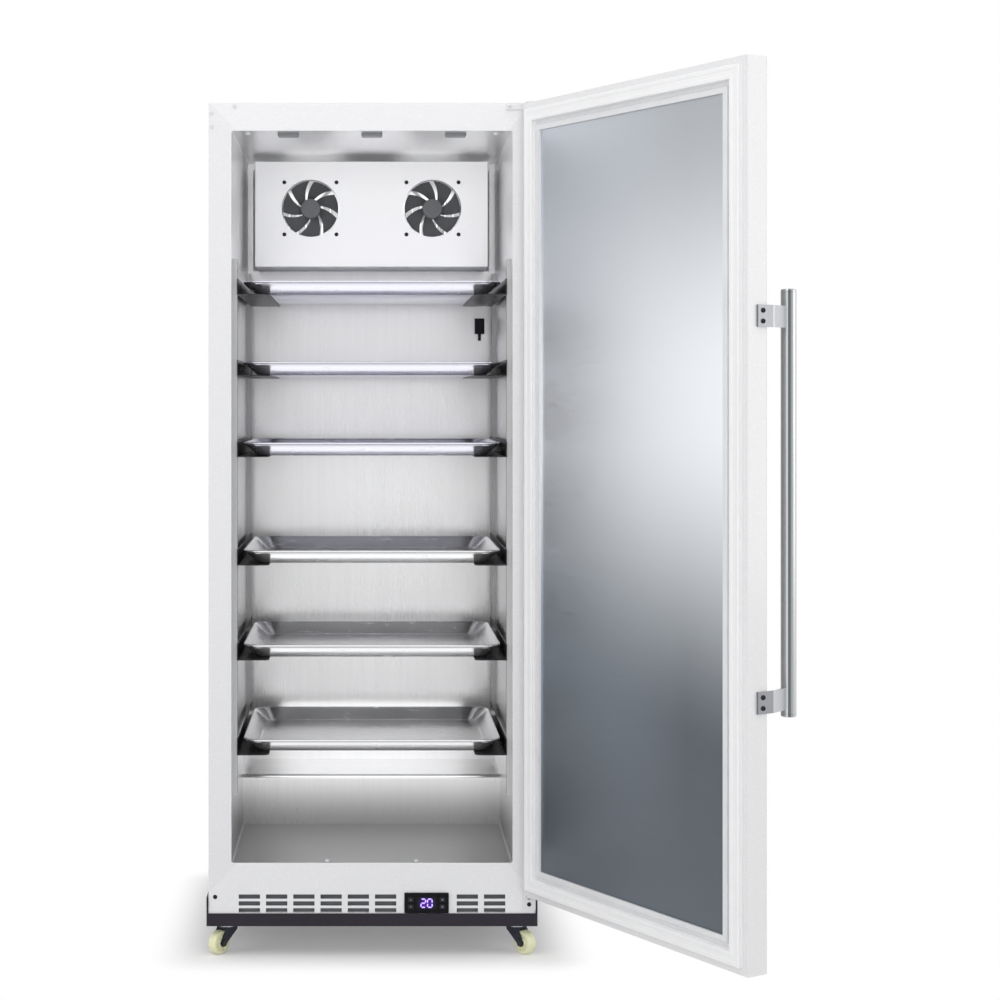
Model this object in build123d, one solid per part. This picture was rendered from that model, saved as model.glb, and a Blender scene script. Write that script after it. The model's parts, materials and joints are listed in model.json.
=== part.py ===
from build123d import *
import os
from math import cos, radians, sin

os.makedirs("parts", exist_ok=True)

# Upright tray refrigerator on casters, in millimetres.
# The origin is on the floor under the middle of the cabinet. +Z is up and the door faces -Y.

# Cabinet
cabinet_width = 600.0
cabinet_depth = 560.0
cabinet_height = 1487.0
cabinet_corner_radius = 3.0
shell_sheet = 1.2
back_sheet = 1.0

# Face frame round the door opening
face_sheet = 1.2
stile_width = 42.0
top_rail_height = 51.0
bottom_rail_height = 53.5
face_lip_depth = 12.0
hole_plug_radius = 3.0
hole_plug_lip = 0.8

# Inner liner, with a step over the compressor
liner_sheet = 1.0
back_insulation = 60.0
liner_corner_radius = 4.0
step_height = 98.0
step_edge_radius = 8.0
floor_insulation = 50.0
step_insulation = 40.0
machine_depth = 190.0
bulkhead_sheet = 1.0
floor_plug_radius = 5.0
floor_plug_height = 4.0
floor_plug_spacing = 164.0
floor_plug_setback = 12.0
ceiling_plug_inset = 28.0
ceiling_plug_setback = 30.0

# Kick grille
grille_height = 39.0
grille_flange = 10.0
slot_width = 39.0
slot_height = 8.0
slot_pitch = 50.0
slot_columns = 10
slot_rows = 3
slot_row_pitch = 12.6
slot_drop = 1.5

# Controller in the grille
controller_x = 100.0
bezel_width = 81.5
bezel_height = 37.0
bezel_proud = 4.0
bezel_corner_radius = 2.0
bezel_edge_cut = 0.8
controller_body_width = 71.0
controller_body_height = 29.0
controller_body_depth = 58.0
display_width = 36.0
display_height = 22.0
display_sheet = 1.5
button_width = 10.0
button_height = 8.0
button_thickness = 2.4
button_corner_radius = 1.2
button_proud = 0.6
button_travel = 0.8
button_spread = 58.0
button_row_pitch = 13.0
button_clearance = 0.35

# Base frame and its casters
caster_height = 57.0
base_height = 23.0
base_sheet = 3.0
base_channel_width = 70.0
base_flange_height = 53.0
base_side_gap = 0.5
base_front_proud = 3.0
wheel_diameter = 43.0
wheel_width = 18.0
wheel_edge_radius = 3.0
axle_diameter = 8.0
fork_sheet = 2.0
fork_side_clearance = 0.8
caster_trail = 24.0
caster_plate_width = 56.0
caster_plate_sheet = 2.5
caster_plate_corner_radius = 6.0
caster_inset_x = 32.0
caster_inset_y = 40.0
caster_yaw = 36.87
crown_wheel_gap = 4.5
cheek_foot_radius = 7.0
cheek_head_height = 7.0
axle_end = 2.0
axle_head_radius = 6.5
axle_head_height = 3.0
wheel_dish_depth = 2.5
wheel_dish_share = 0.68
wheel_boss_radius = 7.2
swivel_race_radius = 15.0
swivel_gap = 0.3
running_clearance = 0.06

# Shelf standards, rails and trays
standard_width = 22.0
standard_depth = 9.0
standard_sheet = 1.2
standard_bottom = 293.0
standard_length = 990.0
front_standard_setback = 24.0
rear_standard_gap = 30.0
standard_slot_height = 12.0
standard_slot_width = 4.0
standard_slot_pitch = 25.0
rail_sheet = 1.5
rail_web_height = 28.0
rail_reach = 68.0
rail_overhang = 6.0
rail_corner_radius = 12.0
hook_width = 3.0
hook_height = 5.0
hook_clearance = 0.3
lowest_rail = 3
rail_steps = [7, 7, 8, 6, 6]
tray_side_clearance = 7.5
tray_length = 395.0
tray_height = 25.0
tray_sheet = 1.2
tray_slope_run = 17.0
tray_corner_radius = 30.0
tray_rim_width = 6.0
tray_rim_height = 4.5
tray_rim_radius = 1.8
tray_setback = 30.0
tray_clearance = 0.3

# Fan cover and the evaporator behind it
cover_width = 470.0
cover_height = 211.0
cover_top_gap = 14.0
cover_depth = 150.0
cover_sheet = 1.2
fan_size = 120.0
fan_depth = 25.0
fan_opening = 116.0
fan_spacing = 246.0
fan_screw_pitch = 105.0
fan_blades = 7
fan_hub_radius = 20.0
fan_hub_edge_radius = 2.5
fan_tip_clearance = 2.0
fan_shaft_radius = 2.5
fan_seat_depth = 5.0
fan_strut_width = 6.0
fan_strut_depth = 3.0
fan_corner_radius = 5.0
rotor_setback = 2.0
rotor_depth = 17.0
fan_rise_share = 0.555
cover_flange = 12.0
cover_corner_radius = 3.0
cover_slots = 9
cover_slot_depth = 8.0
blade_thickness = 1.4
blade_root_sink = 3.0
blade_root_chord = 17.5
blade_tip_chord = 45.0
blade_root_pitch = 42.0
blade_tip_pitch = 18.0
blade_sweep = 28.0
coil_width = 400.0
coil_height = 120.0
coil_depth = 80.0
coil_fins = 24
coil_fin_sheet = 1.6
coil_tube_radius = 4.5
coil_rows = 3
coil_back_gap = 12.0
drip_tray_sheet = 1.5
drip_tray_height = 18.0
drip_tray_margin = 12.0
drip_tray_rest = 2.0

# Ceiling lamps and the probe
lamp_width = 39.0
lamp_depth = 30.0
lamp_height = 6.0
lamp_corner_radius = 4.0
lamp_edge_radius = 2.5
lamp_pitch = 155.0
lamp_setback = 24.0
probe_width = 20.0
probe_height = 32.0
probe_corner_radius = 3.0
probe_tip_radius = 3.0
probe_tip_length = 14.0
probe_depth = 14.0
probe_x = 226.0
probe_z = 1176.0

# Machine space at the lower back
rear_cover_sheet = 1.0
rear_cover_recess = 6.0
louvre_columns = 3
louvre_rows = 5
louvre_width = 120.0
louvre_height = 9.0
louvre_depth = 4.0
louvre_lip = 1.0
compressor_radius = 68.0
compressor_round = 30.0
compressor_neck_reach = 3.0
compressor_neck_rise = 9.0
compressor_headroom = 10.5
compressor_x = 120.0
compressor_seam = 5.0
compressor_seam_proud = 3.0
compressor_plate_width = 160.0
compressor_plate_depth = 110.0
compressor_plate_sheet = 3.0
compressor_foot_radius = 8.0
compressor_foot_height = 8.0
compressor_foot_inset = 14.0
terminal_box_width = 52.0
terminal_box_height = 52.0
terminal_box_reach = 24.0
terminal_box_rise = 40.0
terminal_box_radius = 4.0
condenser_width = 56.0
condenser_front_gap = 35.0
condenser_inlet_gap = 7.0
condenser_height = 128.0
condenser_x = -190.0
condenser_fins = 18
condenser_fin_sheet = 1.2
condenser_fan_gap = 4.0
inlet_width = 48.0
inlet_height = 30.0
inlet_depth = 22.0
inlet_rise = 38.0
inlet_flange = 4.0
inlet_flange_sheet = 2.0
inlet_corner_radius = 3.0
socket_width = 24.0
socket_height = 16.0
socket_depth = 16.0
contact_width = 2.0
contact_height = 4.0
contact_pitch = 14.0
contact_rise = 2.0
contact_drop = 3.0

# Door, written shut and then turned open about its pins
door_width = 596.0
door_thickness = 42.0
door_gap = 9.0
door_top_margin = 4.5
door_bottom_margin = 1.0
door_sheet = 1.0
door_edge_radius = 4.0
door_return = 10.0
door_open_angle = 121.3
inner_frame_sheet = 3.0
inner_panel_margin = 50.0
inner_panel_sheet = 1.0
bead_cover = 4.0
bead_width = 10.0
bead_proud = 4.0
bead_edge_radius = 2.0
gasket_inset = 12.0
gasket_width = 24.0
gasket_clearance = 0.3
gasket_foot_share = 0.28
gasket_neck_share = 0.5
gasket_neck_tuck = 4.0
gasket_lip_tuck = 1.0

# Hinges
pin_inset = 10.0
pin_forward = 20.0
pin_radius = 4.0
pin_length = 14.0
bush_wall = 2.4
bush_floor = 1.0
bush_end_clearance = 0.3
bush_flange_sheet = 0.7
hinge_sheet = 3.0
hinge_arm_radius = 9.0
hinge_gap = 1.0
hinge_leg_width = 12.0
hinge_plate_width = 54.0
hinge_plate_height = 50.0
hinge_plate_drop = 0.5
hinge_second_screw_drop = 13.0
hinge_foot_rise = 8.0
grille_bolt_rise = 30.0
foot_screw_pitch = 13.0

# Handle
handle_length = 683.0
handle_diameter = 25.0
handle_end_radius = 1.5
handle_bottom = 516.0
handle_standoff = 58.0
handle_inset = 15.0
handle_top_overhang = 45.0
handle_bottom_overhang = 30.0
bracket_height = 35.0
bracket_sheet = 4.0
bracket_setback = 18.0
bracket_bend = 9.0
bracket_bend_radius = 8.0
bracket_screw_pitch = 17.0

# Screws
screw_head_radius = 4.0
screw_head_height = 2.2
screw_head_round_share = 0.6
screw_shank_radius = 2.0
screw_length = 12.0

# Planes and levels worked out from the sizes above
front = -cabinet_depth / 2
back = cabinet_depth / 2
half_width = cabinet_width / 2
bottom = caster_height + base_height
top = bottom + cabinet_height
face_back = front + face_sheet
panel_front = back - back_sheet
opening_half = half_width - stile_width
ceiling = top - top_rail_height
floor = bottom + grille_height + bottom_rail_height
liner_back = back - back_insulation
step_top = floor + step_height
space_low_top = floor - floor_insulation
space_top = step_top - step_insulation
space_front = back - machine_depth
step_front = space_front - step_insulation


def block(x0, x1, y0, y1, z0, z1):
    """Box between two corners."""
    return Pos((x0 + x1) / 2, (y0 + y1) / 2, (z0 + z1) / 2) * Box(x1 - x0, y1 - y0, z1 - z0)


def rod(start, along, radius, length):
    """Round bar from a point, along a direction."""
    seat = (Align.CENTER, Align.CENTER, Align.MIN)
    return Plane(origin=start, z_dir=along) * Cylinder(radius, length, align=seat)


def facing(y):
    """Plane seen from the front, with X to the right and Z up."""
    return Plane(origin=(0, y, 0), x_dir=(1, 0, 0), z_dir=(0, -1, 0))


def from_side(x):
    """Plane seen from the right, with +Y across and Z up."""
    return Plane(origin=(x, 0, 0), x_dir=(0, 1, 0), z_dir=(1, 0, 0))


def slab(outline, y0, y1):
    """Outline drawn from the front, made solid from y0 back to y1."""
    return extrude(facing(y0) * outline, amount=y1 - y0, dir=(0, 1, 0))


def frame_outline(half, low, high, inset):
    """Rectangle from the front, inset evenly on all four sides."""
    return Pos(0, (low + high) / 2) * Rectangle(2 * (half - inset), high - low - 2 * inset)


def screw(point, into):
    """Screw whose head stands on a face at a point, with its shank going in."""
    shank = rod(point, into, screw_shank_radius, screw_length)
    head = rod(point, [-part for part in into], screw_head_radius, screw_head_height)
    rim = head.edges().filter_by(GeomType.CIRCLE).sort_by(lambda e: (e.center() - Vector(point)).length)
    return shank + fillet(rim[-1], screw_head_height * screw_head_round_share)


def group(solids):
    """Separate like pieces that share one node."""
    return Compound([piece.solid() for piece in solids])


# Liner space and machine space, each with a growth for the sheet round it
def liner_space(growth, y0):
    width = 2 * (opening_half + growth)
    height = ceiling - floor + 2 * growth
    corner = liner_corner_radius + growth
    outline = Pos(0, (floor + ceiling) / 2) * RectangleRounded(width, height, corner)
    room = slab(outline, y0, liner_back + growth)
    step = block(-half_width, half_width, step_front + growth, back, bottom, step_top - growth)
    step_edge = step.edges().filter_by(Axis.X).sort_by(Axis.Z)[-2:].sort_by(Axis.Y)[0]
    return room - fillet(step_edge, step_edge_radius - growth)


def machine_space(growth):
    inner = half_width - shell_sheet
    low = block(-inner, inner, front, back, bottom, space_low_top + growth)
    tall = block(-inner, inner, space_front - growth, back, bottom, space_top + growth)
    return low + tall


# Cabinet sheets
def cabinet_outline(inset):
    middle = (bottom + top) / 2
    body = RectangleRounded(2 * (half_width - inset), cabinet_height - 2 * inset,
                            max(cabinet_corner_radius - inset, 0.5))
    square_foot = Pos(0, -cabinet_height / 4) * Rectangle(2 * (half_width - inset), cabinet_height / 2)
    return Pos(0, middle) * (body + square_foot)


def outer_shell():
    hoop = slab(cabinet_outline(0), face_back, panel_front)
    inside = slab(cabinet_outline(shell_sheet), face_back - 1, panel_front + 1)
    foot = block(-half_width + shell_sheet, half_width - shell_sheet,
                 face_back - 1, panel_front + 1, bottom - 1, bottom + shell_sheet + 1)
    return hoop - inside - foot


def face_frame():
    lower_edge = bottom + grille_height
    plate = slab(cabinet_outline(0), front, face_back)
    plate -= block(-half_width, half_width, front - 1, face_back + 1, bottom - 1, lower_edge)
    plate -= liner_space(0, front - 1)
    lip = liner_space(liner_sheet + face_sheet, face_back) - liner_space(liner_sheet, face_back - 1)
    lip &= block(-half_width, half_width, face_back, face_back + face_lip_depth, bottom, top)
    frame = plate + lip
    for hole in plug_points():
        frame -= rod(hole, (0, 1, 0), hole_plug_radius, face_sheet)
    return frame - hinge_screws()


def plug_points():
    """Unused hinge holes at the left, mirror image of the hinge screws at the right."""
    return [(-x, front, z) for x, z in hinge_hole_places()]


def hinge_hole_places():
    half_leg = hinge_leg_width / 2
    plate_top = top - hinge_plate_drop
    return [
        (half_width - hinge_plate_width + half_leg, plate_top - half_leg),
        (half_width - half_leg, plate_top - half_leg - hinge_second_screw_drop),
        (half_width - half_leg, plate_top - hinge_plate_height + half_leg),
    ]


def plug_caps():
    caps = []
    for hole in plug_points():
        cap = rod(hole, (0, 1, 0), hole_plug_radius, face_sheet)
        dome = rod(hole, (0, -1, 0), hole_plug_radius + hole_plug_lip, hole_plug_lip)
        caps.append(cap + dome)
    dome = rod((0, 0, 0), (0, 0, 1), floor_plug_radius, floor_plug_height)
    dome = fillet(dome.edges().sort_by(Axis.Z)[-1], floor_plug_height * 0.7)
    for side in (-1, 1):
        caps.append(Pos(side * floor_plug_spacing / 2, front + floor_plug_setback, floor) * dome)
        x = side * (opening_half - ceiling_plug_inset)
        caps.append(Pos(x, front + ceiling_plug_setback, ceiling) * Rot(180, 0, 0) * dome)
    return group(caps)


def back_panel():
    panel = slab(cabinet_outline(0), panel_front, back)
    return panel - block(-half_width, half_width, front, back + 1, bottom - 1, space_top + bulkhead_sheet)


def inner_liner():
    return liner_space(liner_sheet, face_back) - liner_space(0, front - 1)


def machine_bulkhead():
    sheet = machine_space(bulkhead_sheet) - machine_space(0)
    return sheet & block(-half_width, half_width, face_back, back, bottom, top)


def cabinet_foam():
    filling = slab(cabinet_outline(shell_sheet), face_back, panel_front)
    filling -= liner_space(liner_sheet, front)
    filling -= machine_space(bulkhead_sheet)
    filling -= liner_space(liner_sheet + face_sheet, front) & block(
        -half_width, half_width, front, face_back + face_lip_depth, bottom, top)
    return filling - hinge_screws()


# Kick grille and controller
grille_middle = bottom + grille_height / 2


def kick_grille():
    plate = block(-half_width, half_width, front, face_back, bottom, bottom + grille_height)
    inner = half_width - shell_sheet
    for z0 in (bottom, bottom + grille_height - face_sheet):
        plate += block(-inner, inner, face_back, face_back + grille_flange, z0, z0 + face_sheet)
    first = -(slot_columns - 1) / 2 * slot_pitch
    for column in range(slot_columns):
        x = first + column * slot_pitch
        if abs(x - controller_x) < (bezel_width + slot_width) / 2:
            continue
        for row in range(slot_rows):
            z = grille_middle - slot_drop + (row - (slot_rows - 1) / 2) * slot_row_pitch
            plate -= block(x - slot_width / 2, x + slot_width / 2, front - 1, face_back + 1,
                           z - slot_height / 2, z + slot_height / 2)
    plate -= block(controller_x - controller_body_width / 2, controller_x + controller_body_width / 2,
                   front - 1, face_back + 1, grille_middle - controller_body_height / 2,
                   grille_middle + controller_body_height / 2)
    return plate - hinge_screws() - grille_bolts()


def button_places():
    return [
        (controller_x + side * button_spread / 2, grille_middle + row * button_row_pitch / 2)
        for side in (-1, 1) for row in (1, -1)
    ]


def controller_body():
    bezel = block(controller_x - bezel_width / 2, controller_x + bezel_width / 2,
                  front - bezel_proud, front,
                  grille_middle - bezel_height / 2, grille_middle + bezel_height / 2)
    bezel = fillet(bezel.edges().filter_by(Axis.Y), bezel_corner_radius)
    bezel = chamfer(bezel.faces().sort_by(Axis.Y)[0].edges(), bezel_edge_cut)
    case = block(controller_x - controller_body_width / 2, controller_x + controller_body_width / 2,
                 front, front + controller_body_depth, grille_middle - controller_body_height / 2,
                 grille_middle + controller_body_height / 2)
    body = bezel + case - controller_window()
    pocket = button_thickness + button_travel + button_clearance - button_proud
    for x, z in button_places():
        body -= block(x - button_width / 2 - button_clearance, x + button_width / 2 + button_clearance,
                      front - bezel_proud - 1, front - bezel_proud + pocket,
                      z - button_height / 2 - button_clearance, z + button_height / 2 + button_clearance)
    return body


def controller_window():
    return block(controller_x - display_width / 2, controller_x + display_width / 2,
                 front - bezel_proud, front - bezel_proud + display_sheet,
                 grille_middle - display_height / 2, grille_middle + display_height / 2)


def controller_button(place):
    x, z = place
    face_y = front - bezel_proud - button_proud
    key = block(x - button_width / 2, x + button_width / 2, face_y, face_y + button_thickness,
                z - button_height / 2, z + button_height / 2)
    return fillet(key.edges().filter_by(Axis.Y), button_corner_radius)


def grille_bolts():
    """The bolt at the side away from the hinge, level with the hinge bracket's upper screw."""
    return group([screw((-half_width + hinge_leg_width, front, bottom + grille_bolt_rise), (0, 1, 0))])


# Base frame and casters
base_half = half_width + base_side_gap + base_sheet
base_front = front - base_front_proud
base_back = back


def base_frame():
    under = caster_height
    ring = block(-base_half, base_half, base_front, base_back, under, bottom)
    inner_x = base_half - base_channel_width
    ring -= block(-inner_x, inner_x, base_front + base_channel_width, base_back - base_channel_width,
                  under - 1, bottom + 1)
    ring -= block(-base_half + base_sheet, base_half - base_sheet, base_front + base_sheet,
                  base_back - base_sheet, under + base_sheet, bottom - base_sheet)
    for side in (-1, 1):
        low_x, high_x = sorted((side * base_half, side * (base_half - base_sheet)))
        ring += block(low_x, high_x, base_front, base_back, bottom, under + base_flange_height)
    deck = block(-inner_x, inner_x, space_front - step_insulation, base_back - base_channel_width,
                 bottom - base_sheet, bottom)
    return ring + deck


def caster_places():
    x = half_width - caster_inset_x
    y = cabinet_depth / 2 - caster_inset_y
    return {
        "front_left": (-x, -y, -caster_yaw),
        "front_right": (x, -y, caster_yaw),
        "rear_left": (-x, y, -caster_yaw),
        "rear_right": (x, y, caster_yaw),
    }


crown_top = wheel_diameter + crown_wheel_gap
plate_bottom = caster_height - caster_plate_sheet


def caster_plates():
    plates = []
    for x, y, _ in caster_places().values():
        half = caster_plate_width / 2
        plate = block(x - half, x + half, y - half, y + half, plate_bottom, caster_height)
        plate = fillet(plate.edges().filter_by(Axis.Z), caster_plate_corner_radius)
        race = rod((x, y, crown_top + swivel_gap), (0, 0, 1), swivel_race_radius,
                   plate_bottom - crown_top - swivel_gap)
        plates.append(plate + race)
    return group(plates)


def at_caster(place, shape):
    x, y, yaw = place
    return Pos(x, y, 0) * Rot(0, 0, yaw) * shape


def caster_fork(place):
    axle_z = wheel_diameter / 2
    inside = wheel_width / 2 + fork_side_clearance
    outside = inside + fork_sheet
    head = Pos(0, crown_top - cheek_head_height / 2) * Rectangle(2 * swivel_race_radius, cheek_head_height)
    foot = Pos(-caster_trail, axle_z) * Circle(cheek_foot_radius)
    cheek_outline = make_hull(head.edges() + foot.edges())
    cheek = extrude(from_side(0) * cheek_outline, amount=fork_sheet)
    cheeks = Pos(inside, 0, 0) * cheek + Pos(-outside, 0, 0) * cheek
    crown = rod((0, 0, crown_top - fork_sheet), (0, 0, 1), swivel_race_radius, fork_sheet)
    crown += block(-outside, outside, -swivel_race_radius, swivel_race_radius * 0.7,
                   crown_top - fork_sheet, crown_top)
    end = outside + axle_end
    axle = rod((-end, -caster_trail, axle_z), (1, 0, 0), axle_diameter / 2, 2 * end)
    for x in (-outside - axle_head_height, outside):
        hexagon = from_side(x) * Pos(-caster_trail, axle_z) * RegularPolygon(axle_head_radius, 6)
        axle += extrude(hexagon, amount=axle_head_height)
    return at_caster(place, cheeks + crown + axle)


def caster_wheel(place):
    radius = wheel_diameter / 2
    half = wheel_width / 2
    rim = rod((-half, 0, 0), (1, 0, 0), radius, wheel_width)
    rim = fillet(rim.edges().filter_by(GeomType.CIRCLE), wheel_edge_radius)
    for side in (-1, 1):
        dish = rod((side * half, 0, 0), (-side, 0, 0), radius * wheel_dish_share, wheel_dish_depth)
        boss = rod((side * half, 0, 0), (-side, 0, 0), wheel_boss_radius, wheel_dish_depth)
        rim -= dish - boss
    rim -= rod((-half, 0, 0), (1, 0, 0), axle_diameter / 2 + running_clearance, wheel_width)
    return at_caster(place, Pos(0, -caster_trail, radius) * rim)


# Shelf standards and tray rails
standard_face = opening_half - standard_depth
standard_fronts = (front + front_standard_setback, liner_back - rear_standard_gap - standard_width)
tray_width = 2 * (standard_face - rail_sheet - tray_side_clearance)


def standard_slots():
    count = int((standard_length - 2 * standard_slot_pitch) / standard_slot_pitch) + 1
    return [standard_bottom + standard_slot_pitch * (index + 1) for index in range(count)]


def shelf_standards():
    strips = []
    for y in standard_fronts:
        strip = block(standard_face, opening_half, y, y + standard_width,
                      standard_bottom, standard_bottom + standard_length)
        strip -= block(standard_face + standard_sheet, opening_half + 1, y + standard_sheet,
                       y + standard_width - standard_sheet, standard_bottom - 1,
                       standard_bottom + standard_length + 1)
        middle = y + standard_width / 2
        cutters = [
            block(standard_face - 1, standard_face + standard_sheet + 1,
                  middle - standard_slot_width / 2, middle + standard_slot_width / 2,
                  z - standard_slot_height / 2, z + standard_slot_height / 2)
            for z in standard_slots()
        ]
        strip -= cutters
        strips += [strip, mirror(strip, about=Plane.YZ)]
    return group(strips)


def rail_levels():
    """Height of each ledge's upper face, lowest first."""
    first = standard_bottom + standard_slot_pitch * lowest_rail
    levels = [first]
    for steps in rail_steps:
        levels.append(levels[-1] + steps * standard_slot_pitch)
    return levels


def tray_rail(level):
    """L-shaped rail for the right side, with a hook into each standard."""
    y0 = standard_fronts[0] - rail_overhang
    y1 = standard_fronts[1] + standard_width + rail_overhang
    ledge = block(opening_half - rail_reach, standard_face, y0, y1, level - rail_sheet, level)
    rail = fillet(ledge.edges().filter_by(Axis.Z).sort_by(Axis.X)[:2], rail_corner_radius)
    rail += block(standard_face - rail_sheet, standard_face, y0, y1, level - rail_sheet,
                  level + rail_web_height)
    seat = level + standard_slot_pitch - standard_slot_height / 2
    behind = standard_face + standard_sheet
    nose = behind + hook_clearance + hook_width
    for strip_front in standard_fronts:
        middle = strip_front + standard_width / 2
        y_low, y_high = middle - hook_width / 2, middle + hook_width / 2
        rail += block(standard_face, nose, y_low, y_high, seat, seat + hook_height)
        rail += block(nose - hook_width, nose, y_low, y_high, seat - hook_height, seat)
    return rail


def tray_rails(side):
    rails = [tray_rail(level) for level in rail_levels()]
    if side < 0:
        rails = [mirror(rail, about=Plane.YZ) for rail in rails]
    return group(rails)


def tray_shape(width, length, z0, z1, inset_low, corner):
    """Sloped pan body between two rounded rectangles."""
    low = Pos(0, 0, z0) * RectangleRounded(width - 2 * inset_low, length - 2 * inset_low,
                                           corner - inset_low * 0.5)
    high = Pos(0, 0, z1) * RectangleRounded(width, length, corner)
    return loft([low, high])


def sheet_tray(level):
    wall_width = tray_width - 2 * tray_rim_width
    wall_length = tray_length - 2 * tray_rim_width
    slope = tray_slope_run / tray_height
    pan = tray_shape(wall_width, wall_length, 0, tray_height, tray_slope_run, tray_corner_radius)
    inside = tray_shape(wall_width - 2 * tray_sheet + 2 * slope * tray_sheet,
                        wall_length - 2 * tray_sheet + 2 * slope * tray_sheet,
                        tray_sheet, tray_height + tray_sheet, tray_slope_run,
                        tray_corner_radius - tray_sheet)
    rim = extrude(RectangleRounded(tray_width, tray_length, tray_corner_radius + tray_rim_width),
                  tray_rim_height)
    rim = fillet(rim.faces().sort_by(Axis.Z)[-1].edges(), tray_rim_radius)
    rim = Pos(0, 0, tray_height - tray_rim_height) * rim
    tray = pan + rim - inside
    middle_y = front + tray_setback + tray_length / 2
    return Pos(0, middle_y, level + tray_clearance) * tray


# Fan cover, fans and evaporator
cover_front = liner_back - cover_depth
cover_top = ceiling - cover_top_gap
cover_bottom = cover_top - cover_height
fan_z = cover_bottom + cover_height * fan_rise_share


def fan_centres():
    return {"left": -fan_spacing / 2, "right": fan_spacing / 2}


def fan_cover():
    half = cover_width / 2
    cover = block(-half, half, cover_front, liner_back, cover_bottom, cover_top)
    front_edges = cover.faces().sort_by(Axis.Y)[0].edges().filter_by(Axis.Z)
    cover = fillet(front_edges, cover_corner_radius)
    cover -= block(-half + cover_sheet, half - cover_sheet, cover_front + cover_sheet, liner_back + 1,
                   cover_bottom + cover_sheet, cover_top + 1)
    for side in (-1, 1):
        low_x, high_x = sorted((side * half, side * (half + cover_flange)))
        cover += block(low_x, high_x, liner_back - cover_sheet, liner_back, cover_bottom, cover_top)
    for x in fan_centres().values():
        cover -= rod((x, cover_front - 1, fan_z), (0, 1, 0), fan_opening / 2, cover_sheet + 2)
    pitch = cover_width / (cover_slots + 1)
    slot_y = cover_front + cover_sheet + fan_depth + cover_slot_depth / 2
    for index in range(cover_slots):
        x = (index - (cover_slots - 1) / 2) * pitch
        cover -= block(x - pitch * 0.35, x + pitch * 0.35, slot_y, slot_y + cover_slot_depth,
                       cover_bottom - 1, cover_bottom + cover_sheet + 1)
    return cover - fan_screws()


def fan_screws():
    screws = []
    reach = fan_screw_pitch / 2
    for x in fan_centres().values():
        for dx in (-reach, reach):
            for dz in (-reach, reach):
                screws.append(screw((x + dx, cover_front, fan_z + dz), (0, 1, 0)))
    return group(screws)


def axial_fan_frame():
    """Square fan frame round the Y axis, its front at y 0 and its motor seat at the back."""
    half = fan_size / 2
    frame = block(-half, half, 0, fan_depth, -half, half)
    frame = fillet(frame.edges().filter_by(Axis.Y), fan_corner_radius)
    frame -= rod((0, -1, 0), (0, 1, 0), fan_opening / 2, fan_depth + 2)
    seat = rod((0, fan_depth - fan_seat_depth, 0), (0, 1, 0), fan_hub_radius, fan_seat_depth)
    strut = block(0, fan_opening / 2 + 1, fan_depth - fan_strut_depth, fan_depth,
                  -fan_strut_width / 2, fan_strut_width / 2)
    for index in range(4):
        seat += Rot(0, 45 + 90 * index, 0) * strut
    shaft_start = 2 * rotor_setback
    shaft = rod((0, shaft_start, 0), (0, 1, 0), fan_shaft_radius,
                fan_depth - fan_seat_depth - shaft_start)
    return frame + seat + shaft


def axial_fan_rotor(hand):
    """Seven swept and twisted blades on a hub, turning round the Y axis."""
    hub = rod((0, rotor_setback, 0), (0, 1, 0), fan_hub_radius, rotor_depth)
    hub = fillet(hub.edges().sort_by(Axis.Y)[0], fan_hub_edge_radius)
    tip = fan_opening / 2 - fan_tip_clearance
    middle_y = rotor_setback + rotor_depth / 2
    sections = []
    root = fan_hub_radius - blade_root_sink
    for share in (0.0, 0.5, 1.0):
        radius = root + share * (tip + blade_root_sink - root)
        chord = blade_root_chord + share * (blade_tip_chord - blade_root_chord)
        pitch = blade_root_pitch + share * (blade_tip_pitch - blade_root_pitch)
        sweep = hand * blade_sweep * share
        radial = (sin(radians(sweep)), 0, cos(radians(sweep)))
        across = (cos(radians(sweep)), 0, -sin(radians(sweep)))
        lean = radians(pitch)
        chord_dir = (across[0] * cos(lean), hand * sin(lean), across[2] * cos(lean))
        seat = Plane(origin=(radius * radial[0], middle_y, radius * radial[2]),
                     x_dir=chord_dir, z_dir=radial)
        sections.append(seat * Rectangle(chord, blade_thickness))
    blade = loft(sections)
    blade &= rod((0, rotor_setback, 0), (0, 1, 0), tip, rotor_depth)
    rotor = hub
    for index in range(fan_blades):
        rotor += Rot(0, 360 / fan_blades * index, 0) * blade
    return rotor - rod((0, -1, 0), (0, 1, 0), fan_shaft_radius + running_clearance, fan_depth + 2)


def at_fan(x, shape):
    return Pos(x, cover_front + cover_sheet, fan_z) * shape


def evaporator_fan_frame(x):
    return at_fan(x, axial_fan_frame()) - fan_screws()


coil_front = liner_back - coil_back_gap - coil_depth
coil_bottom = cover_bottom + cover_sheet + drip_tray_height + drip_tray_rest


def evaporator_coil():
    """Finned coil: thin fins on rows of tubes, with return bends at both ends."""
    half = coil_width / 2
    middle = coil_front + coil_depth / 2
    pitch = coil_width / coil_fins
    row_pitch = coil_height / coil_rows
    coil = block(-half, half, middle - coil_tube_radius, middle + coil_tube_radius,
                 coil_bottom + row_pitch / 4, coil_bottom + coil_height - row_pitch / 4)
    for index in range(coil_fins + 1):
        x = -half + index * pitch
        coil += block(x - coil_fin_sheet / 2, x + coil_fin_sheet / 2, coil_front,
                      coil_front + coil_depth, coil_bottom, coil_bottom + coil_height)
    for side in (-1, 1):
        for row in range(coil_rows):
            z = coil_bottom + row_pitch * (row + 0.5)
            bend = Torus(coil_depth / 4, coil_tube_radius, major_angle=180)
            turn = Rot(0, 0, -90 * side)
            coil += Pos(side * half, middle, z) * turn * bend
    return coil


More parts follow.
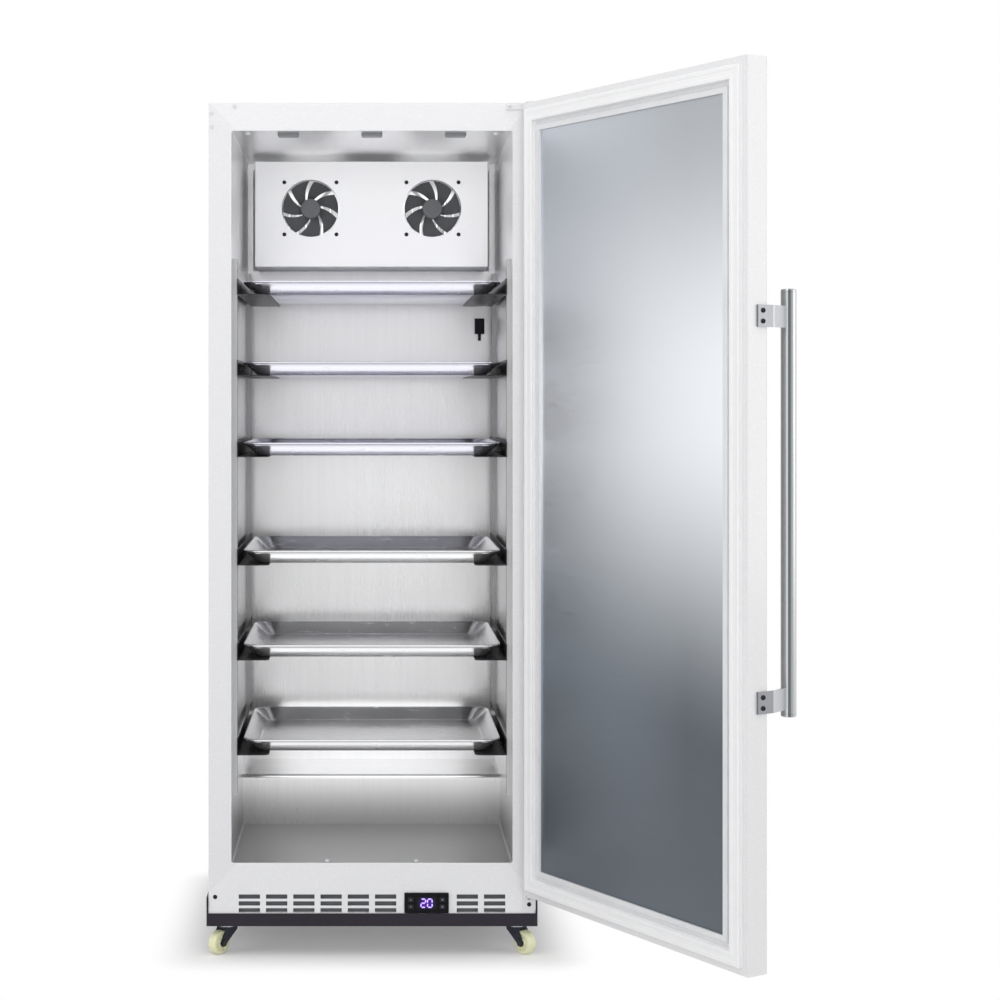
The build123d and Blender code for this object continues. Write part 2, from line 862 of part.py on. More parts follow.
def evaporator_drip_tray():
    y0, y1 = coil_front - drip_tray_sheet, liner_back - coil_back_gap + drip_tray_sheet
    z0 = cover_bottom + cover_sheet
    z1 = z0 + drip_tray_height
    half = coil_width / 2 + drip_tray_margin
    trough = block(-half, half, y0, y1, z0, z1)
    trough -= block(-half + drip_tray_sheet, half - drip_tray_sheet, y0 + drip_tray_sheet,
                    y1 - drip_tray_sheet, z0 + drip_tray_sheet, z1 + 1)
    rests = [block(x - drip_tray_rest, x + drip_tray_rest, y0, y1, z0, coil_bottom)
             for x in (-coil_width / 3, coil_width / 3)]
    return trough + rests


def lamp_lenses():
    lenses = []
    for index in (-1, 0, 1):
        x = index * lamp_pitch
        y = front + lamp_setback
        lens = block(x - lamp_width / 2, x + lamp_width / 2, y, y + lamp_depth,
                     ceiling - lamp_height, ceiling)
        lens = fillet(lens.edges().filter_by(Axis.Z), lamp_corner_radius)
        lenses.append(fillet(lens.faces().sort_by(Axis.Z)[0].edges(), lamp_edge_radius))
    return group(lenses)


def probe_housing():
    body = block(probe_x - probe_width / 2, probe_x + probe_width / 2, liner_back - probe_depth,
                 liner_back, probe_z - probe_height / 2, probe_z + probe_height / 2)
    body = fillet(body.edges().filter_by(Axis.Z), probe_corner_radius)
    tip = rod((probe_x, liner_back - probe_depth / 2, probe_z - probe_height / 2), (0, 0, -1),
              probe_tip_radius, probe_tip_length)
    return body + tip


# Machine space
space_middle = (space_front + back) / 2


def compressor():
    """Welded steel pot on a plate with four rubber feet, its terminal box at the side."""
    x, y = compressor_x, space_middle
    low = bottom + compressor_foot_height
    height = space_top - compressor_headroom - low
    under = low - compressor_plate_sheet
    shell = rod((x, y, low), (0, 0, 1), compressor_radius, height)
    shell = fillet(shell.edges().filter_by(GeomType.CIRCLE), compressor_round)
    seam = rod((x, y, low + height / 2), (0, 0, 1), compressor_radius + compressor_seam_proud,
               compressor_seam)
    half_x, half_y = compressor_plate_width / 2, compressor_plate_depth / 2
    plate = block(x - half_x, x + half_x, y - half_y, y + half_y, under, low)
    plate = fillet(plate.edges().filter_by(Axis.Z), compressor_foot_inset / 2)
    neck = rod((x, y, under), (0, 0, 1), compressor_radius - compressor_round + compressor_neck_reach,
               compressor_plate_sheet + compressor_neck_rise)
    body = shell + seam + plate + neck
    for dx in (compressor_foot_inset - half_x, half_x - compressor_foot_inset):
        for dy in (compressor_foot_inset - half_y, half_y - compressor_foot_inset):
            body += rod((x + dx, y + dy, bottom), (0, 0, 1), compressor_foot_radius,
                        compressor_foot_height)
    box = block(x + compressor_radius / 2, x + compressor_radius + terminal_box_reach,
                y - terminal_box_width / 2, y + terminal_box_width / 2, low + terminal_box_rise,
                low + terminal_box_rise + terminal_box_height)
    return body + fillet(box.edges().filter_by(Axis.X), terminal_box_radius)


def condenser():
    """Finned block standing on the deck, its fins across the air flow."""
    y0 = space_front + condenser_front_gap
    length = back - rear_cover_recess - inlet_depth - condenser_inlet_gap - y0
    half = condenser_width / 2
    coil = block(condenser_x - coil_tube_radius, condenser_x + coil_tube_radius, y0, y0 + length,
                 bottom + condenser_height * 0.1, bottom + condenser_height * 0.9)
    pitch = (length - condenser_fin_sheet) / condenser_fins
    for index in range(condenser_fins + 1):
        y = y0 + index * pitch
        coil += block(condenser_x - half, condenser_x + half, y, y + condenser_fin_sheet,
                      bottom, bottom + condenser_height)
    return coil


def at_condenser_fan(shape):
    x = condenser_x + condenser_width / 2 + condenser_fan_gap
    return Pos(x, space_middle, bottom + fan_size / 2) * Rot(0, 0, -90) * shape


def rear_cover():
    y1 = back - rear_cover_recess
    y0 = y1 - rear_cover_sheet
    half = half_width - shell_sheet
    cover = block(-half, half, y0, y1, bottom, space_top)
    for low_x, high_x in ((-half, -half + rear_cover_sheet), (half - rear_cover_sheet, half)):
        cover += block(low_x, high_x, y1, back - back_sheet, bottom, space_top)
    column_pitch = 2 * half / louvre_columns
    row_pitch = (space_top - bottom) / (louvre_rows + 1)
    hood_outline = Polyline((y1, 0), (y1 + louvre_depth, 0), (y1, louvre_height), close=True)
    hood = extrude(from_side(-louvre_width / 2) * make_face(hood_outline), amount=louvre_width)
    hole = block(-louvre_width / 2 + louvre_lip, louvre_width / 2 - louvre_lip, y0 - 1,
                 y1 + louvre_depth - 2 * louvre_lip, -1, louvre_height / 3)
    for column in range(louvre_columns):
        x = (column - (louvre_columns - 1) / 2) * column_pitch
        for row in range(louvre_rows):
            z = bottom + (row + 1) * row_pitch - louvre_height / 2
            if column == 0 and row < 2:
                continue
            cover = cover + Pos(x, 0, z) * hood - Pos(x, 0, z) * hole
    return cover - inlet_block(0, y0 - 1, y1 + 1)


def inlet_block(growth, y0, y1):
    """Block round the inlet's middle, grown evenly from its outline."""
    x = -2 * (half_width - shell_sheet) / louvre_columns
    z = bottom + inlet_rise
    return block(x - inlet_width / 2 - growth, x + inlet_width / 2 + growth, y0, y1,
                 z - inlet_height / 2 - growth, z + inlet_height / 2 + growth)


def power_inlet():
    face = back - rear_cover_recess
    body = inlet_block(0, face - inlet_depth, face)
    flange = inlet_block(inlet_flange, face, face + inlet_flange_sheet)
    flange = fillet(flange.edges().filter_by(Axis.Y), inlet_corner_radius)
    middle = body.center()
    x, z = middle.X, middle.Z
    socket = block(x - socket_width / 2, x + socket_width / 2, face - socket_depth,
                   face + inlet_flange_sheet + 1, z - socket_height / 2, z + socket_height / 2)
    inlet = body + flange - socket
    half = contact_pitch / 2
    for dx, dz in ((-half, contact_rise), (half, contact_rise), (0, -contact_drop)):
        inlet += block(x + dx - contact_width / 2, x + dx + contact_width / 2, face - socket_depth,
                       face - inlet_flange_sheet, z + dz - contact_height / 2, z + dz + contact_height / 2)
    return inlet


# Hinges
pin_x = half_width - pin_inset
pin_y = front - pin_forward
door_top = top - door_top_margin
door_bottom = bottom + grille_height - door_bottom_margin
arm_top_z = door_top + hinge_gap
arm_bottom_z = door_bottom - hinge_gap - hinge_sheet


def hinge_arm(z0):
    arm = block(pin_x - hinge_arm_radius, half_width, pin_y, front, z0, z0 + hinge_sheet)
    return arm + rod((pin_x, pin_y, z0), (0, 0, 1), hinge_arm_radius, hinge_sheet)


def hinge_bracket_top():
    plate_top = top - hinge_plate_drop
    leg = block(half_width - hinge_leg_width, half_width, front - hinge_sheet, front,
                plate_top - hinge_plate_height, plate_top)
    along = block(half_width - hinge_plate_width, half_width, front - hinge_sheet, front,
                  plate_top - hinge_leg_width, plate_top)
    pin = rod((pin_x, pin_y, arm_top_z), (0, 0, -1), pin_radius, pin_length)
    return leg + along + hinge_arm(arm_top_z) + pin - hinge_screws()


def hinge_bracket_bottom():
    leg = block(half_width - 2 * hinge_leg_width, half_width, front - hinge_sheet, front,
                bottom + hinge_foot_rise, arm_bottom_z + hinge_sheet)
    pin = rod((pin_x, pin_y, arm_bottom_z + hinge_sheet), (0, 0, 1), pin_radius, pin_length)
    return leg + hinge_arm(arm_bottom_z) + pin - hinge_screws()


def hinge_screws():
    screws = [screw((x, front - hinge_sheet, z), (0, 1, 0)) for x, z in hinge_hole_places()]
    for z in (bottom + grille_bolt_rise, bottom + grille_bolt_rise - foot_screw_pitch):
        screws.append(screw((half_width - hinge_leg_width, front - hinge_sheet, z), (0, 1, 0)))
    return group(screws)


# Door pieces, drawn shut
door_half = door_width / 2
door_inner = front - door_gap
door_outer = door_inner - door_thickness
bush_radius = pin_radius + bush_wall
bush_depth = pin_length - hinge_gap + bush_end_clearance


def opened(shape):
    """Door piece turned from shut to the open rest pose."""
    return Pos(pin_x, pin_y, 0) * Rot(0, 0, door_open_angle) * Pos(-pin_x, -pin_y, 0) * shape


def door_block(inset, y0, y1):
    return slab(frame_outline(door_half, door_bottom, door_top, inset), y0, y1)


def bush_seats():
    """Blind seats for the two hinge bushes in the door's end faces."""
    return [rod((pin_x, pin_y, z), (0, 0, -up), bush_radius, bush_depth + bush_floor)
            for z, up in ((door_top, 1), (door_bottom, -1))]


def hinge_bushes():
    bushes = []
    for seat, (z, up) in zip(bush_seats(), ((door_top, 1), (door_bottom, -1))):
        flange = rod((pin_x, pin_y, z), (0, 0, up), bush_radius + 1, bush_flange_sheet)
        bore = rod((pin_x, pin_y, z + up), (0, 0, -up), pin_radius + running_clearance,
                   bush_depth + 1)
        bushes.append(seat + flange - bore)
    return group(bushes)


def door_core(inset, y1):
    """Door slab inset from the outside, its outer face's edges rounded."""
    core = door_block(inset, door_outer + inset, y1)
    return fillet(core.faces().sort_by(Axis.Y)[0].edges(), door_edge_radius - inset)


def door_outer_shell():
    shell = door_core(0, door_inner) - door_core(door_sheet, door_inner - door_sheet)
    shell -= door_block(door_return, door_inner - door_sheet - 1, door_inner + 1)
    return shell - bush_seats() - handle_screws()


def door_inner_frame():
    ring = door_block(door_return, door_inner - inner_frame_sheet, door_inner)
    ring -= door_block(inner_panel_margin, door_inner - inner_frame_sheet - 1, door_inner + 1)
    bead = door_block(inner_panel_margin + bead_cover - bead_width, door_inner, door_inner + bead_proud)
    bead = fillet(bead.faces().sort_by(Axis.Y)[-1].edges(), bead_edge_radius)
    bead -= door_block(inner_panel_margin + bead_cover, door_inner - 1, door_inner + bead_proud + 1)
    return ring + bead


def door_inner_panel():
    return door_block(inner_panel_margin, door_inner - inner_panel_sheet, door_inner)


def door_foam():
    foam = door_core(door_sheet, door_inner - door_sheet)
    foam -= door_block(door_return, door_inner - inner_frame_sheet, door_inner)
    foam += door_block(inner_panel_margin, door_inner - inner_frame_sheet - 1,
                       door_inner - inner_panel_sheet)
    return foam - bush_seats() - handle_screws()


def door_gasket():
    reach = door_gap - gasket_clearance
    layers = ((0.0, gasket_foot_share, 0.0), (gasket_foot_share, gasket_neck_share, gasket_neck_tuck),
              (gasket_neck_share, 1.0, gasket_lip_tuck))
    gasket = None
    for low, high, tuck in layers:
        ring = door_block(gasket_inset + tuck, door_inner + reach * low, door_inner + reach * high)
        ring -= door_block(gasket_inset + gasket_width - tuck, door_inner, front)
        gasket = ring if gasket is None else gasket + ring
    return gasket


# Handle
bar_x = -door_half + handle_inset
bar_y = door_outer - handle_standoff


def bracket_heights():
    return [handle_bottom + handle_bottom_overhang, handle_bottom + handle_length - handle_top_overhang]


def handle_bar():
    bar = rod((bar_x, bar_y, handle_bottom), (0, 0, 1), handle_diameter / 2, handle_length)
    return fillet(bar.edges().filter_by(GeomType.CIRCLE), handle_end_radius)


def handle_brackets():
    centre_x = -door_half - bracket_sheet / 2
    path = FilletPolyline((centre_x, door_inner - bracket_setback),
                          (centre_x, door_outer - bracket_bend), (bar_x, bar_y),
                          radius=bracket_bend_radius)
    outline = trace(path, bracket_sheet)
    brackets = []
    for z in bracket_heights():
        strip = Pos(0, 0, z - bracket_height / 2) * extrude(outline, bracket_height)
        strip -= rod((bar_x, bar_y, handle_bottom), (0, 0, 1), handle_diameter / 2, handle_length)
        brackets.append(strip.solids().sort_by(SortBy.VOLUME)[-1] - handle_screws())
    return group(brackets)


def handle_screws():
    screws = []
    y = door_inner - bracket_setback - 10
    for z in bracket_heights():
        for dz in (-bracket_screw_pitch / 2, bracket_screw_pitch / 2):
            screws.append(screw((-door_half - bracket_sheet, y, z + dz), (1, 0, 0)))
    return group(screws)


def cabinet_screws():
    return group(hinge_screws().solids() + grille_bolts().solids() + fan_screws().solids())


# Every node by name, in the order the refrigerator goes together
nodes = {
    "base_frame": base_frame(),
    "caster_plates": caster_plates(),
    "outer_shell": outer_shell(),
    "face_frame": face_frame(),
    "back_panel": back_panel(),
    "machine_bulkhead": machine_bulkhead(),
    "inner_liner": inner_liner(),
    "cabinet_foam": cabinet_foam(),
    "kick_grille": kick_grille(),
    "controller_body": controller_body(),
    "controller_window": controller_window(),
    "shelf_standards": shelf_standards(),
    "tray_rails_left": tray_rails(-1),
    "tray_rails_right": tray_rails(1),
    "fan_cover": fan_cover(),
    "evaporator_coil": evaporator_coil(),
    "evaporator_drip_tray": evaporator_drip_tray(),
    "lamp_lenses": lamp_lenses(),
    "probe_housing": probe_housing(),
    "compressor": compressor(),
    "condenser": condenser(),
    "condenser_fan_frame": at_condenser_fan(axial_fan_frame()),
    "condenser_fan_rotor": at_condenser_fan(axial_fan_rotor(1)),
    "rear_cover": rear_cover(),
    "power_inlet": power_inlet(),
    "hinge_bracket_top": hinge_bracket_top(),
    "hinge_bracket_bottom": hinge_bracket_bottom(),
    "plug_caps": plug_caps(),
    "cabinet_screws": cabinet_screws(),
    "door_outer_shell": opened(door_outer_shell()),
    "door_foam": opened(door_foam()),
    "door_inner_frame": opened(door_inner_frame()),
    "door_inner_panel": opened(door_inner_panel()),
    "door_gasket": opened(door_gasket()),
    "hinge_bushes": opened(hinge_bushes()),
    "handle_bar": opened(handle_bar()),
    "handle_brackets": opened(handle_brackets()),
    "handle_screws": opened(handle_screws()),
}
for corner, place in caster_places().items():
    nodes["caster_fork_" + corner] = caster_fork(place)
    nodes["caster_wheel_" + corner] = caster_wheel(place)
for number, level in enumerate(rail_levels(), start=1):
    nodes["sheet_tray_" + str(number)] = sheet_tray(level)
for side, x in fan_centres().items():
    hand = -1 if side == "left" else 1
    nodes["evaporator_fan_frame_" + side] = evaporator_fan_frame(x)
    nodes["evaporator_fan_rotor_" + side] = at_fan(x, axial_fan_rotor(hand))
for number, place in enumerate(button_places(), start=1):
    nodes["controller_button_" + str(number)] = controller_button(place)

for name, shape in nodes.items():
    export_step(shape, "parts/" + name + ".step")
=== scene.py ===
import json
from functools import cached_property
from math import cos, pi, radians, sin, tau

import bmesh
import bpy
from mathutils import Matrix, Vector

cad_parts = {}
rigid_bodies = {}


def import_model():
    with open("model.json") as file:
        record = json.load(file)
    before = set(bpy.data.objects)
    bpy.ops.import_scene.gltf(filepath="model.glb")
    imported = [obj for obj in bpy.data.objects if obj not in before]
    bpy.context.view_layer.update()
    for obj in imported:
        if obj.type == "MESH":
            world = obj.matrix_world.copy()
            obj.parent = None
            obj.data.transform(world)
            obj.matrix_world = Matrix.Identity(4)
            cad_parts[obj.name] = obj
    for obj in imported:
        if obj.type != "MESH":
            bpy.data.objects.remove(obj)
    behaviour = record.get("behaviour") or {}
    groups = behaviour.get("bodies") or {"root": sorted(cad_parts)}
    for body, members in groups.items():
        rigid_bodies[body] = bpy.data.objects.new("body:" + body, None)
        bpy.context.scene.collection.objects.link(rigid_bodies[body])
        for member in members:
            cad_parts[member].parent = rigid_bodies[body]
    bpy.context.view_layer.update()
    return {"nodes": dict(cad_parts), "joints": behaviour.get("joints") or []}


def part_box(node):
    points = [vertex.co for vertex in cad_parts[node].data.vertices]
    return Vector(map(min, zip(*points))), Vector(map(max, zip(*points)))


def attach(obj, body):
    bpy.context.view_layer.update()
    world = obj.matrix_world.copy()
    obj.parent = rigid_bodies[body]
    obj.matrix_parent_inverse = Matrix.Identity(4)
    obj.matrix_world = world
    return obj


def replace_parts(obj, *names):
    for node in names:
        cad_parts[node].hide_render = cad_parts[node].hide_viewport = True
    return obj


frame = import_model()
joints = {joint["name"]: joint for joint in frame["joints"]}


# Base frame. A black powder-coated steel channel that carries the cabinet, with a flange
# folded up at each side. It is bent, welded at the corners and sprayed with dry powder.
class Wire:
    """One output of a shader node. Arithmetic on it adds Math nodes."""

    def __init__(self, tree, socket):
        self.tree, self.socket = tree, socket

    def maths(self, operation, *values):
        node = self.tree.nodes.new("ShaderNodeMath")
        node.operation = operation
        for slot, value in zip(node.inputs, values):
            feed(slot, value)
        return Wire(self.tree, node.outputs[0])

    def __add__(self, other):
        return self.maths("ADD", self, other)

    def __sub__(self, other):
        return self.maths("SUBTRACT", self, other)

    def __rsub__(self, other):
        return self.maths("SUBTRACT", other, self)

    def __mul__(self, other):
        return self.maths("MULTIPLY", self, other)

    def __truediv__(self, other):
        return self.maths("DIVIDE", self, other)

    def __rtruediv__(self, other):
        return self.maths("DIVIDE", other, self)

    def __lt__(self, other):
        return self.maths("LESS_THAN", self, other)

    def __gt__(self, other):
        return self.maths("GREATER_THAN", self, other)

    def __abs__(self):
        return self.maths("ABSOLUTE", self)

    __radd__, __rmul__ = __add__, __mul__


def feed(slot, value):
    """Links a wire to a socket, or sets the socket's own value."""
    if isinstance(value, Wire):
        value.tree.links.new(value.socket, slot)
    elif slot.type == "RGBA":
        slot.default_value = (*value, 1.0)
    else:
        slot.default_value = value


class Finish:
    """One procedural material, made of nodes on the piece's own coordinates. The studio's white
    surround is made the same way, but kept in the worlds."""

    def __init__(self, name, kept_in="materials"):
        self.owner = getattr(bpy.data, kept_in).new(name)
        self.owner.use_nodes = True
        self.tree = self.owner.node_tree
        self.tree.nodes.clear()

    @cached_property
    def place(self):
        return self.node("ShaderNodeTexCoord", output="Object")

    def node(self, kind, settings=None, sockets=None, output=0):
        """Makes one node: first its settings, a ramp's stops among them, then its sockets."""
        node = self.tree.nodes.new(kind)
        for name, value in (settings or {}).items():
            if name == "stops":
                self.set_stops(node.color_ramp.elements, value)
            else:
                setattr(node, name, value)
        for name, value in (sockets or {}).items():
            feed(node.inputs[name], value)
        return Wire(self.tree, node.outputs[output]) if node.outputs else None

    @staticmethod
    def set_stops(elements, stops):
        """Gives a new ramp its (place, colour) stops."""
        for place, colour in stops[1:-1]:
            elements.new(place).color = (*colour, 1.0)
        for element, (place, colour) in ((elements[0], stops[0]), (elements[-1], stops[-1])):
            element.position, element.color = place, (*colour, 1.0)

    def axes(self):
        """The three object coordinates."""
        split = self.node("ShaderNodeSeparateXYZ", sockets={"Vector": self.place}).socket.node
        return [Wire(self.tree, socket) for socket in split.outputs]

    def noise(self, scale, stretch=(1, 1, 1), detail=2.0):
        """Noise that is squeezed along an axis where its stretch is large."""
        spot = self.node("ShaderNodeVectorMath", {"operation": "MULTIPLY"}, {0: self.place, 1: stretch})
        return self.node("ShaderNodeTexNoise", {},
                         {"Vector": spot, "Scale": scale, "Detail": detail})

    def between(self, value, low, high, out_low=0.0, out_high=1.0, curve="LINEAR"):
        """Maps a value from one range to another, kept inside the second."""
        return self.node("ShaderNodeMapRange", {"clamp": True, "interpolation_type": curve},
                         {"Value": value, "From Min": low, "From Max": high,
                          "To Min": out_low, "To Max": out_high})

    def spread(self, noise, out_low, out_high):
        """Maps noise, most of which lies between 0.3 and 0.7, to a range."""
        return self.between(noise, 0.3, 0.7, out_low, out_high)

    def tint(self, share, first, second):
        """Runs from the first colour to the second as the share goes from 0 to 1. A Mix node's
        colour sockets go by number, because the plain ones have the same names."""
        return self.node("ShaderNodeMix", {"data_type": "RGBA"}, {0: share, 6: first, 7: second}, 2)

    def maths(self, operation, *values):
        return Wire(self.tree, None).maths(operation, *values)

    def bump(self, height, depth):
        return self.node("ShaderNodeBump", {}, {"Height": height, "Distance": depth})

    def length(self, first, second):
        """Length of a flat vector that two wires give."""
        packed = self.node("ShaderNodeCombineXYZ", {}, {"X": first, "Y": second})
        return self.node("ShaderNodeVectorMath", {"operation": "LENGTH"}, {0: packed}, "Value")

    def closed(self, **sockets):
        """Joins the shader to the output. Underscores in the names stand for spaces."""
        named = {name.replace("_", " "): value for name, value in sockets.items()}
        shader = self.node("ShaderNodeBsdfPrincipled", {}, named)
        self.node("ShaderNodeOutputMaterial", {}, {"Surface": shader})
        return self.owner


def dress(material, *nodes):
    """Gives CAD nodes a material."""
    for name in nodes:
        slots = frame["nodes"][name].data.materials
        slots.clear()
        slots.append(material)


def powder_coat():
    finish = Finish("powder_coat")
    peel = finish.noise(900, detail=1.0)
    cloud = finish.noise(7)
    return finish.closed(
        Base_Color=finish.tint(cloud, (0.012, 0.009, 0.016), (0.020, 0.016, 0.025)),
        Roughness=finish.spread(peel, 0.40, 0.54), Specular_IOR_Level=0.3,
        Normal=finish.bump(peel, 0.00012))


dress(powder_coat(), "base_frame")


# Casters. A zinc-plated top plate with its ball race, a black steel fork with an axle bolt,
# and a cast nylon wheel. The plates are bolted under the base frame; each wheel turns freely.
def linked(name, mesh):
    piece = bpy.data.objects.new(name, mesh)
    bpy.context.scene.collection.objects.link(piece)
    return piece


def shaped(name, points, faces, material, smooth=30.0):
    """A closed mesh with its faces turned outwards and its hard edges kept."""
    mesh = bpy.data.meshes.new(name)
    mesh.from_pydata([tuple(point) for point in points], [], faces)
    work = bmesh.new()
    work.from_mesh(mesh)
    bmesh.ops.remove_doubles(work, verts=work.verts, dist=1e-6)
    bmesh.ops.recalc_face_normals(work, faces=work.faces)
    work.to_mesh(mesh)
    work.free()
    mesh.shade_smooth()
    mesh.set_sharp_from_angle(angle=radians(smooth))
    mesh.materials.append(material)
    return linked(name, mesh)


def ring_faces(loops, count, wrap=False):
    """Quads between loops of the same count, one loop after the other."""
    pairs = [(k, k + 1) for k in range(loops - 1)] + ([(loops - 1, 0)] if wrap else [])
    return [(a * count + i, a * count + (i + 1) % count, b * count + (i + 1) % count, b * count + i)
            for a, b in pairs for i in range(count)]


def lathed(profile, seat, steps):
    """Points round an axis, a ring for each (along, radius) pair, set by a seat matrix."""
    return [seat @ Vector((radius * cos(tau * i / steps), radius * sin(tau * i / steps), along))
            for along, radius in profile for i in range(steps)]


def turned(name, profile, seat, material, steps=48, smooth=30.0):
    """A solid shape turned on a lathe: (along, radius) pairs from end to end."""
    last = (len(profile) - 1) * steps
    ends = [list(range(steps)), list(range(last, last + steps))]
    return shaped(name, lathed(profile, seat, steps), ring_faces(len(profile), steps) + ends,
                  material, smooth)


def bored(name, profile, seat, material, steps=48, smooth=30.0):
    """A ring turned on a lathe: a closed loop of (along, radius) pairs round a bore."""
    return shaped(name, lathed(profile, seat, steps), ring_faces(len(profile), steps, wrap=True),
                  material, smooth)


def seat_at(point, along):
    """Matrix whose Z runs along a direction from a point."""
    z = Vector(along).normalized()
    side = Vector((0, 0, 1)) if abs(z.z) < 0.99 else Vector((1, 0, 0))
    x = side.cross(z).normalized()
    turn = Matrix((x, z.cross(x), z)).transposed().to_4x4()
    return Matrix.Translation(point) @ turn


class Repeater:
    """A Geometry Nodes tree with named inputs, run once and turned into a plain mesh."""

    def __init__(self, name, inputs):
        self.tree = bpy.data.node_groups.new(name, "GeometryNodeTree")
        self.ids = {}
        for title, kind in inputs.items():
            made = self.tree.interface.new_socket(title, in_out="INPUT", socket_type=kind)
            self.ids[title] = made.identifier
        self.tree.interface.new_socket("Geometry", in_out="OUTPUT", socket_type="NodeSocketGeometry")
        self.start = self.tree.nodes.new("NodeGroupInput")

    def given(self, title):
        return self.start.outputs[title]

    def node(self, kind, settings=None, sockets=None):
        node = self.tree.nodes.new(kind)
        for name, value in (settings or {}).items():
            setattr(node, name, value)
        for name, value in (sockets or {}).items():
            if isinstance(value, bpy.types.NodeSocket):
                self.tree.links.new(value, node.inputs[name])
            else:
                node.inputs[name].default_value = value
        return node

    def finish(self, instances):
        """Ends the tree: copies made real, then their material."""
        real = self.node("GeometryNodeRealizeInstances", {}, {"Geometry": instances})
        worn = self.node("GeometryNodeSetMaterial", {},
                         {"Geometry": real.outputs[0], "Material": self.given("Material")})
        end = self.tree.nodes.new("NodeGroupOutput")
        self.tree.links.new(worn.outputs[0], end.inputs[0])

    def build(self, name, values, points=((0, 0, 0),), seat=Matrix.Identity(4), smooth=30.0):
        """Runs the tree on some points and returns the result as a plain piece."""
        places = bpy.data.meshes.new(name + "_places")
        places.from_pydata([tuple(point) for point in points], [], [])
        piece = linked(name, places)
        modifier = piece.modifiers.new("made", "NODES")
        modifier.node_group = self.tree
        for title, value in values.items():
            modifier[self.ids[title]] = value
        deps = bpy.context.evaluated_depsgraph_get()
        mesh = bpy.data.meshes.new_from_object(piece.evaluated_get(deps))
        piece.modifiers.clear()
        mesh.transform(seat)
        mesh.shade_smooth()
        mesh.set_sharp_from_angle(angle=radians(smooth))
        piece.data = mesh
        bpy.data.meshes.remove(places)
        return piece


def spokes_tree():
    """Copies of one item, turned evenly round Z."""
    repeat = Repeater("copies_round_axis", {"Item": "NodeSocketObject", "Count": "NodeSocketInt",
                                            "Turn": "NodeSocketFloat", "Material": "NodeSocketMaterial"})
    line = repeat.node("GeometryNodeMeshLine", {"mode": "OFFSET"},
                       {"Count": repeat.given("Count"), "Offset": (0, 0, 0)})
    item = repeat.node("GeometryNodeObjectInfo", {}, {"Object": repeat.given("Item")})
    index = repeat.node("GeometryNodeInputIndex")
    angle = repeat.node("ShaderNodeMath", {"operation": "MULTIPLY"},
                        {0: index.outputs[0], 1: repeat.given("Turn")})
    turn = repeat.node("ShaderNodeCombineXYZ", {}, {"Z": angle.outputs[0]})
    copies = repeat.node("GeometryNodeInstanceOnPoints", {},
                         {"Points": line.outputs[0], "Instance": item.outputs["Geometry"],
                          "Rotation": turn.outputs[0]})
    repeat.finish(copies.outputs[0])
    return repeat


def put_away(piece):
    """Removes an item that only served as the pattern for copies."""
    mesh = piece.data
    bpy.data.objects.remove(piece)
    bpy.data.meshes.remove(mesh)


def scaled(colour, share):
    """A colour made paler or darker by one share."""
    return tuple(min(1.0, part * share) for part in colour)


def zinc(name, colour=(0.50, 0.51, 0.53), contrast=1.3):
    """Zinc-plated steel with its crystal pattern."""
    finish = Finish(name)
    spangle = finish.node("ShaderNodeTexVoronoi", {}, {"Vector": finish.place, "Scale": 70}, "Color")
    grey = finish.node("ShaderNodeRGBToBW", {}, {"Color": spangle})
    fine = finish.noise(400)
    return finish.closed(Base_Color=finish.tint(grey, colour, scaled(colour, contrast)), Metallic=1.0,
                         Roughness=finish.between(grey, 0, 1, 0.34, 0.52),
                         Normal=finish.bump(fine, 0.00006))


def fork_black():
    finish = Finish("fork_black")
    grain = finish.noise(500)
    edge = finish.between(finish.noise(120), 0.62, 0.75)
    return finish.closed(Base_Color=finish.tint(edge, (0.012, 0.016, 0.030), (0.07, 0.09, 0.12)),
                         Roughness=finish.spread(grain, 0.28, 0.42), Metallic=0.0,
                         Normal=finish.bump(grain, 0.0001))


def wheel_nylon():
    finish = Finish("wheel_nylon")
    cloud = finish.noise(45)
    scuff = finish.between(finish.noise(300, (1, 1, 4)), 0.55, 0.8)
    body = finish.tint(cloud, (0.80, 0.80, 0.50), (0.86, 0.86, 0.62))
    return finish.closed(Base_Color=finish.tint(scuff * 0.3, body, (0.52, 0.52, 0.34)),
                         Roughness=finish.spread(cloud, 0.34, 0.46),
                         Subsurface_Weight=0.25, Subsurface_Scale=0.004,
                         Subsurface_Radius=(1.0, 0.9, 0.4), Normal=finish.bump(scuff, 0.00008))


